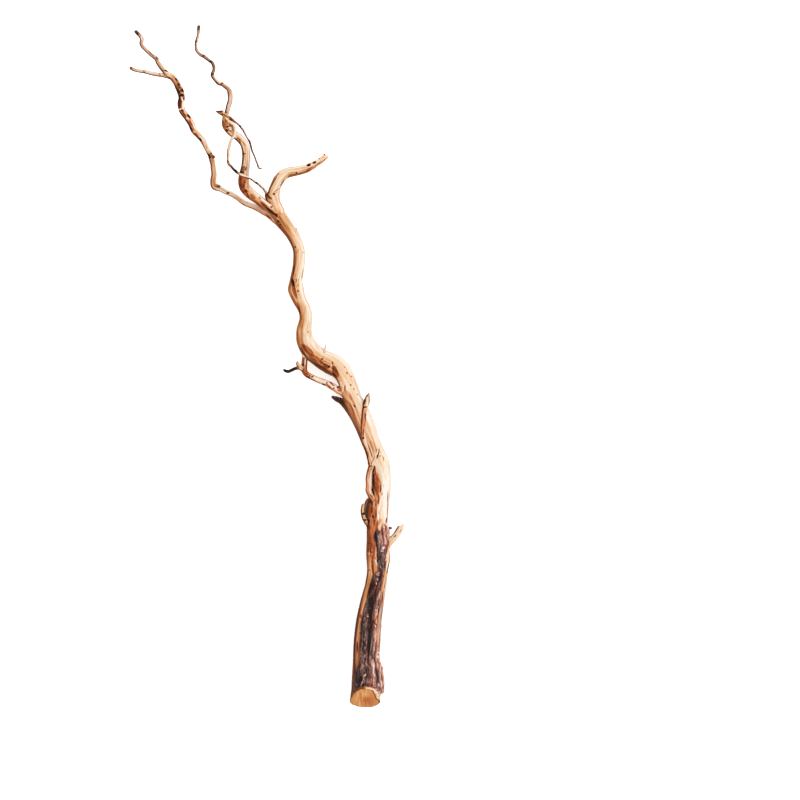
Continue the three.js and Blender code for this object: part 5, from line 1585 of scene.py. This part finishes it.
# %% The bark's marks
BARK_MARKS = [
    # The tongue at the upper end
    (384.3, 527.5, 5.5, 3.6, 90, 0.08, 1.1), (381.5, 530, 6, 0.6, 95, -0.3, 0.2, 0.4),
    (386.7, 533, 8, 0.6, 95, 0.16, 0.2, -0.2), (376.2, 536, 6, 1.2, 92, -0.34, -0.2, 0.5),
    (384, 536, 12, 0.7, 97, 0.15, 0.3, -0.3), (384, 537, 13, 3.6, 96, 0.14, 0.5),
    (379.8, 538, 6, 1.6, 92, 0.14), (386, 540, 8, 0.6, 98, -0.2, 0.4, 0.3),
    (380.3, 543, 10, 2, 93, 0.24, -0.1), (382.7, 548, 1.7, 1, 60, 0.45, 0.5, -0.2),
    (381.5, 551, 1.2, 0.9, 0, 0.3), (377.5, 552, 10, 0.9, 92, -0.3, -0.2, 0.3),
    (382.2, 557, 9, 2.3, 94, 0.08, -0.1),
    # The neck
    (381, 567.5, 2, 0.9, -60, 0.3, 0.3), (383.5, 573, 1.6, 0.8, 60, 0.25, 0.5),
    (378.6, 574, 2.4, 1.9, 30, 0.3, 0.7, -0.6), (378.8, 574, 1, 0.6, 60, -0.2, 0.1, 0.3),
    (384.5, 575, 4, 0.7, 75, -0.25, 0.5, 0.2), (380, 577, 5, 0.6, 80, -0.3, 0.3, 0.4),
    (377.5, 579.5, 1.7, 0.8, 88, 0.5, 0.1, -0.2), (376.6, 583.5, 1.4, 0.8, -80, 0.45, 0.1, -0.2),
    (371, 585, 12, 1.4, 82, -0.14, 0.6, 0.3), (371.5, 588, 12, 2.4, 85, -0.12, 0.6, 0.2),
    (378.5, 589, 10, 1.6, 82, 0.05, 0.4), (366, 590, 14, 2, 80, -0.06, 0.8),
    (382, 597, 6, 0.8, 84, -0.05, 0.9), (378, 598, 10, 1.2, 85, 0.1, 0.45, -0.2),
    # The middle
    (371, 606, 9, 2.6, 83, -0.25, -0.3, 0.3), (372.5, 606, 26, 2.4, 82, -0.12, 0.7),
    (370, 608, 1.1, 1, 0, 0.36, -0.3, -0.2), (375.5, 609.8, 1, 0.9, 0, 0.22, 0.3),
    (363, 612, 9, 1.4, 83, 0.1, -0.2), (368.2, 616.3, 1, 0.8, 0, 0.34, -0.3, -0.2),
    (375.5, 618, 7, 2.4, 80, 0.12, 0.5, -0.2), (369.5, 622, 14, 1.6, 84, -0.14, 0.1),
    (374, 623, 4, 0.6, -55, -0.3, 0.3, 0.3), (374.4, 625.8, 1.6, 0.8, -70, 0.3, 0.3, -0.2),
    (364, 632, 16, 1.8, 87, 0.06, -0.1), (365.5, 632, 12, 0.8, 86, 0.14, -0.5, -0.2),
    # The broad part
    (369, 640, 16, 1.5, 87, -0.3, -0.2, 0.5), (373.5, 640, 12, 1, 87, 0.14, 0.3, -0.2),
    (375.6, 641, 18, 1.6, 88, 0.07, 0.35), (363.5, 646, 6, 0.7, 88, -0.3, -0.2, 0.4),
    (367.5, 646, 10, 1.6, 88, -0.06, 0.5), (365, 647.5, 1.2, 0.7, 90, 0.3),
    (364.8, 655.5, 1.5, 0.7, 90, 0.34, 0.2, -0.2), (376.8, 657, 1.3, 0.8, -60, 0.36, 0.2),
    (376, 660, 10, 1.6, 86, 0.16, 0.3), (371.5, 662, 4, 0.8, 85, 0.35, 0.2, -0.2),
    (366.5, 664, 6, 0.7, -55, 0.2, -0.2, -0.3), (378.8, 664, 12, 1.2, 95, 0.08, 0.2),
    (363, 665.5, 3.4, 1, 80, 0.2, 0.7),
    # Above the saw cut
    (380.8, 671, 12, 1.8, 102, 0.02, 0.4), (363.5, 672, 4, 0.8, 70, 0.1, 0.8),
    (358, 672, 6, 1.2, 80, 0.02, 0.9), (373.2, 673, 14, 1, 92, 0.42, 0.35, -0.4),
    (365, 675, 1.6, 1.1, 60, 0.5, 0.1, -0.3), (382, 676, 8, 0.8, 103, 0.2, 0.9),
    (372.4, 676, 13, 0.7, 92, 0.2, 0.2), (363.4, 676.6, 1, 1, 0, 0.1, -0.5),
    (366.5, 677, 3, 0.8, 70, -0.2, 0.5, 0.3), (377.2, 678, 10, 0.9, 93, -0.14, -0.4, 0.3),
    (361.6, 678.5, 3, 1.3, 88, -0.2, 1, 0.3), (361.5, 679, 2.2, 1, 80, -0.3, -0.4, 0.4),
    (383.3, 679, 3, 0.8, 90, -0.1, 1), (354.5, 680, 11, 1.8, 92, 0, 1),
    (368, 680.5, 3, 1.6, 80, 0.2, 0.6), (370, 682, 5, 1.4, 75, 0.2, 0.5),
    (379.3, 682, 8, 1, 95, 0.1, 0.1), (362.7, 683, 2.2, 0.8, 70, 0.25, -0.7, -0.2),
    (357.6, 684.5, 1.4, 0.7, 95, 0.4, 0.3, -0.2), (377.7, 684.5, 2, 0.7, 95, 0.45, 0.1),
    (363.8, 685.5, 2, 2.6, 0, -0.12, -0.4, 0.2), (364, 686, 4, 1.8, 70, -0.2, -0.7, 0.2),
    (381.6, 686, 2.6, 0.8, 70, -0.3, 0.9, 0.2), (376, 688, 5, 1.4, 100, 0.1, -0.5),
    (379.5, 690, 4, 0.6, 90, -0.2, 0.2, 0.2),
]
print("marks on the bark", len(BARK_MARKS))

# %% The bark's skin
BARK_LENGTH = 305  # millimetres of the trunk's line, from the route's start
BARK_RINGS, BARK_SIDES = 330, 160
BARK_THICK, RIDGE_RISE = 1.3, 1.6  # millimetres: the least thickness, and how much higher the ridges are
UNDERCUT = 1.6  # millimetres by which the tube runs under the wood outside the outline
FURROWS = 4.5  # half the number of furrows round the trunk


def torn_edge(places, grain, run, begin):
    """Distance inside the bark: the least of those to outline, lower edge and cut, frayed by noise."""
    torn = inside(places, BARK_OUTLINE) + 1.3 * drift(grain, (4, 4, 9), 90) + 0.7 * drift(grain, 1.6, 91)
    torn = np.minimum(torn, 1.4 * (places[..., 2] - 13) + 1.5 * drift(grain, (5, 5, 8), 92))
    return np.minimum(torn, 0.9 * (run - begin) - 1.2 + 1.2 * drift(grain, (3, 3, 5), 99))


def braided(turn, run, grain):
    """Ridges from 0 to 1: two sets of furrows, each a folded sine round the trunk, that wander together."""
    wander = 0.5 * np.sin(run / 17) + 0.3 * np.sin(run / 7) + 0.35 * drift(grain, (9, 9, 26), 93)
    first = np.abs(np.sin(FURROWS * turn + wander))
    second = np.abs(np.sin(FURROWS * turn - 0.9 * wander + run / 23 + 1.1))
    furrow = 1 - np.minimum(first, 0.25 + second)
    return ease(0.15, 0.75, 1 - furrow)


def bark_shell(line):
    """The trunk's skin plus the bark: its thickness and ridges inside the outline, less cross cracks."""
    begin = saw_start(line, BARK_SIDES)[None, :] + 2.0
    run = begin + (BARK_LENGTH - begin) * np.linspace(0, 1, BARK_RINGS)[:, None]
    turn = turns(run)
    middle, ray, forward, radius = around(line, run, turn)
    body = radius * lobed(turn, run)
    places = middle + ray * body[..., None]
    grain = unrolled(turn, run, radius)
    body = body + trunk_knots(places, ray)

    torn = torn_edge(places, grain, run, begin)
    kept = ease(-0.3, 0.9, torn)
    ridge = braided(turn, run, grain)
    cracks = ease(0.2, 0.02, np.abs(drift(grain, (5, 5, 7), 94))) * ease(0.3, 0.8, ridge)
    rough = drift(grain, (1.3, 1.3, 3.2), 95)
    fine = ridges(grain, (1.5, 1.5, 13), 89)
    stains = marked(places, ray[..., 2], BARK_MARKS)
    height = BARK_THICK + RIDGE_RISE * ridge - 0.6 * cracks + 0.3 * rough + 0.25 * fine
    height = height + 0.5 * drift(grain, (4, 4, 8), 96) + stains[..., 2]
    height = kept * np.maximum(height, BARK_THICK) - UNDERCUT * (1 - kept)
    places = middle + ray * (body + height)[..., None]
    places[..., 2] = np.maximum(places[..., 2], 0.4)

    # Painted light and shade: the lit side lighter and redder, the other side darker, worn edges paler when
    # lit
    lit = painted_lit_side(ray, forward)
    worn = ease(1.6, 0.2, torn)
    tone = 0.13 + 0.24 * ridge + 0.17 * fine + 0.08 * rough + 0.19 * lit - 0.14 * cracks
    tone = tone + 0.12 * drift(grain, (2.2, 2.2, 12), 97)
    tone = tone + 0.22 * worn * ease(-0.2, 0.6, lit) + 0.07 * ease(0.5, 0.9, lit) + stains[..., 0]
    flush = 0.2 + 0.35 * lit + 0.45 * drift(grain, (4, 4, 18), 98) + 0.3 * worn + stains[..., 1]
    return {"places": places, "grain": grain, "tone": crisped(tone, 2, 2, 0.4), "flush": flush}


bark = bark_shell(LINES["trunk"])
print("bark's tones from", bark["tone"].min().round(2), "to", bark["tone"].max().round(2))

# %% [markdown]
# Old bark is mauve-grey on its crests and red-brown in its furrows and torn edges, where it is fresh. It
# is crumbly all over, so its bump is deeper than the wood's.

# %% The bark
BARK_STOPS = [
    (0, 26, 12, 9), (0.22, 62, 43, 38), (0.42, 104, 79, 76), (0.6, 150, 115, 109), (0.78, 200, 158, 145),
    (1, 243, 226, 214),
]
RED_BARK_STOPS = [
    (0, 36, 10, 4), (0.22, 84, 39, 27), (0.42, 130, 72, 56), (0.6, 178, 110, 92), (0.78, 218, 160, 137),
    (1, 246, 226, 210),
]


def bark_material():
    """Tone plus crumbly noise through a mauve-grey ramp, and a red-brown one where the bark is flushed."""
    made, tree, shader = material("bark")
    crumb = noise(tree, along_grain(tree, 0.3), 1.1, 6.0, 0.7)
    tone = sums(tree, "ADD", attribute(tree, "tone"), swing_about_half(tree, crumb, 0.5), clamp=True)
    mauve, reddish = ramp(tree, tone, BARK_STOPS), ramp(tree, tone, RED_BARK_STOPS)
    colour = blended(tree, attribute(tree, "flush"), mauve, reddish)
    finish(tree, shader, colour, spread(tree, crumb, 0.3, 0.7, 0.82, 0.95), crumb, 0.8, 0.0009, 0.25)
    return made


make_piece("bark", "bark_layer", [bark], [bark_material()])

# %% [markdown]
# The branch lies on a white sheet. In a catalogue picture the sheet is lit until it is pure white, so it
# glows a little by itself. The light is soft and comes from all round, with a weak sun from the right to
# give the limbs their roundness.

# %% Floor and light
SHEET_HALF = 6  # metres
SHEET_DROP = 0.0002  # metres below the branch, so that the two never share a surface
SHEET_LOOK = {
    "Base Color": (0.94, 0.94, 0.94, 1), "Roughness": 0.9, "Specular IOR Level": 0.0,
    "Emission Color": (1, 1, 1, 1), "Emission Strength": 0.4,
}
SKY_STRENGTH, SUN_STRENGTH = 1.15, 1.2
SUN_SIZE, SUN_TILT, SUN_ROLL = math.radians(28), math.radians(-22), math.radians(30)


def sheet_of_white():
    """A wide plane a little below the branch."""
    mesh = bpy.data.meshes.new("floor")
    corners = [(-1, -1), (1, -1), (1, 1), (-1, 1)]
    places = [(across * SHEET_HALF, forth * SHEET_HALF, -SHEET_DROP) for across, forth in corners]
    mesh.from_pydata(places, [], [(0, 1, 2, 3)])
    floor = bpy.data.objects.new("floor", mesh)
    bpy.context.scene.collection.objects.link(floor)
    made, _, shader = material("white_sheet")
    for socket, value in SHEET_LOOK.items():
        shader.inputs[socket].default_value = value
    mesh.materials.append(made)


sheet_of_white()
world = bpy.data.worlds.new("studio")
world.use_nodes = True
sky = world.node_tree.nodes["Background"]
sky.inputs["Color"].default_value = (1, 1, 1, 1)
sky.inputs["Strength"].default_value = SKY_STRENGTH
bpy.context.scene.world = world

sun = bpy.data.lights.new("key", "SUN")
sun.energy = SUN_STRENGTH
sun.angle = SUN_SIZE
sun_lamp = bpy.data.objects.new("key", sun)
sun_lamp.rotation_euler = (SUN_TILT, SUN_ROLL, 0)
bpy.context.scene.collection.objects.link(sun_lamp)
print("light of the sky and of the sun", SKY_STRENGTH, SUN_STRENGTH)

# %% [markdown]
# The camera looks straight down, as the photograph does. A very long lens from far off gives the flat,
# even view of a catalogue picture: a limb a few centimetres above the sheet looks no larger than one that
# lies on it.

# %% Camera
PICTURE = 800  # pixels across the photograph
FRAME_WIDTH = PICTURE * PIXEL * MM  # metres that the picture is wide
LENS, SENSOR = 1500.0, 36.0  # millimetres
lens = bpy.data.cameras.new("camera")
lens.lens, lens.sensor_width = LENS, SENSOR
lens.clip_start, lens.clip_end = 1, 200
camera = bpy.data.objects.new("camera", lens)
camera.location = (*(seen(PICTURE / 2, PICTURE / 2) * MM), FRAME_WIDTH * LENS / SENSOR)
bpy.context.scene.collection.objects.link(camera)
bpy.context.scene.camera = camera
bpy.context.scene.view_settings.view_transform = "Standard"
print("camera at, m", [round(v, 4) for v in camera.location])

# %% Update the scene
bpy.context.view_layer.update()
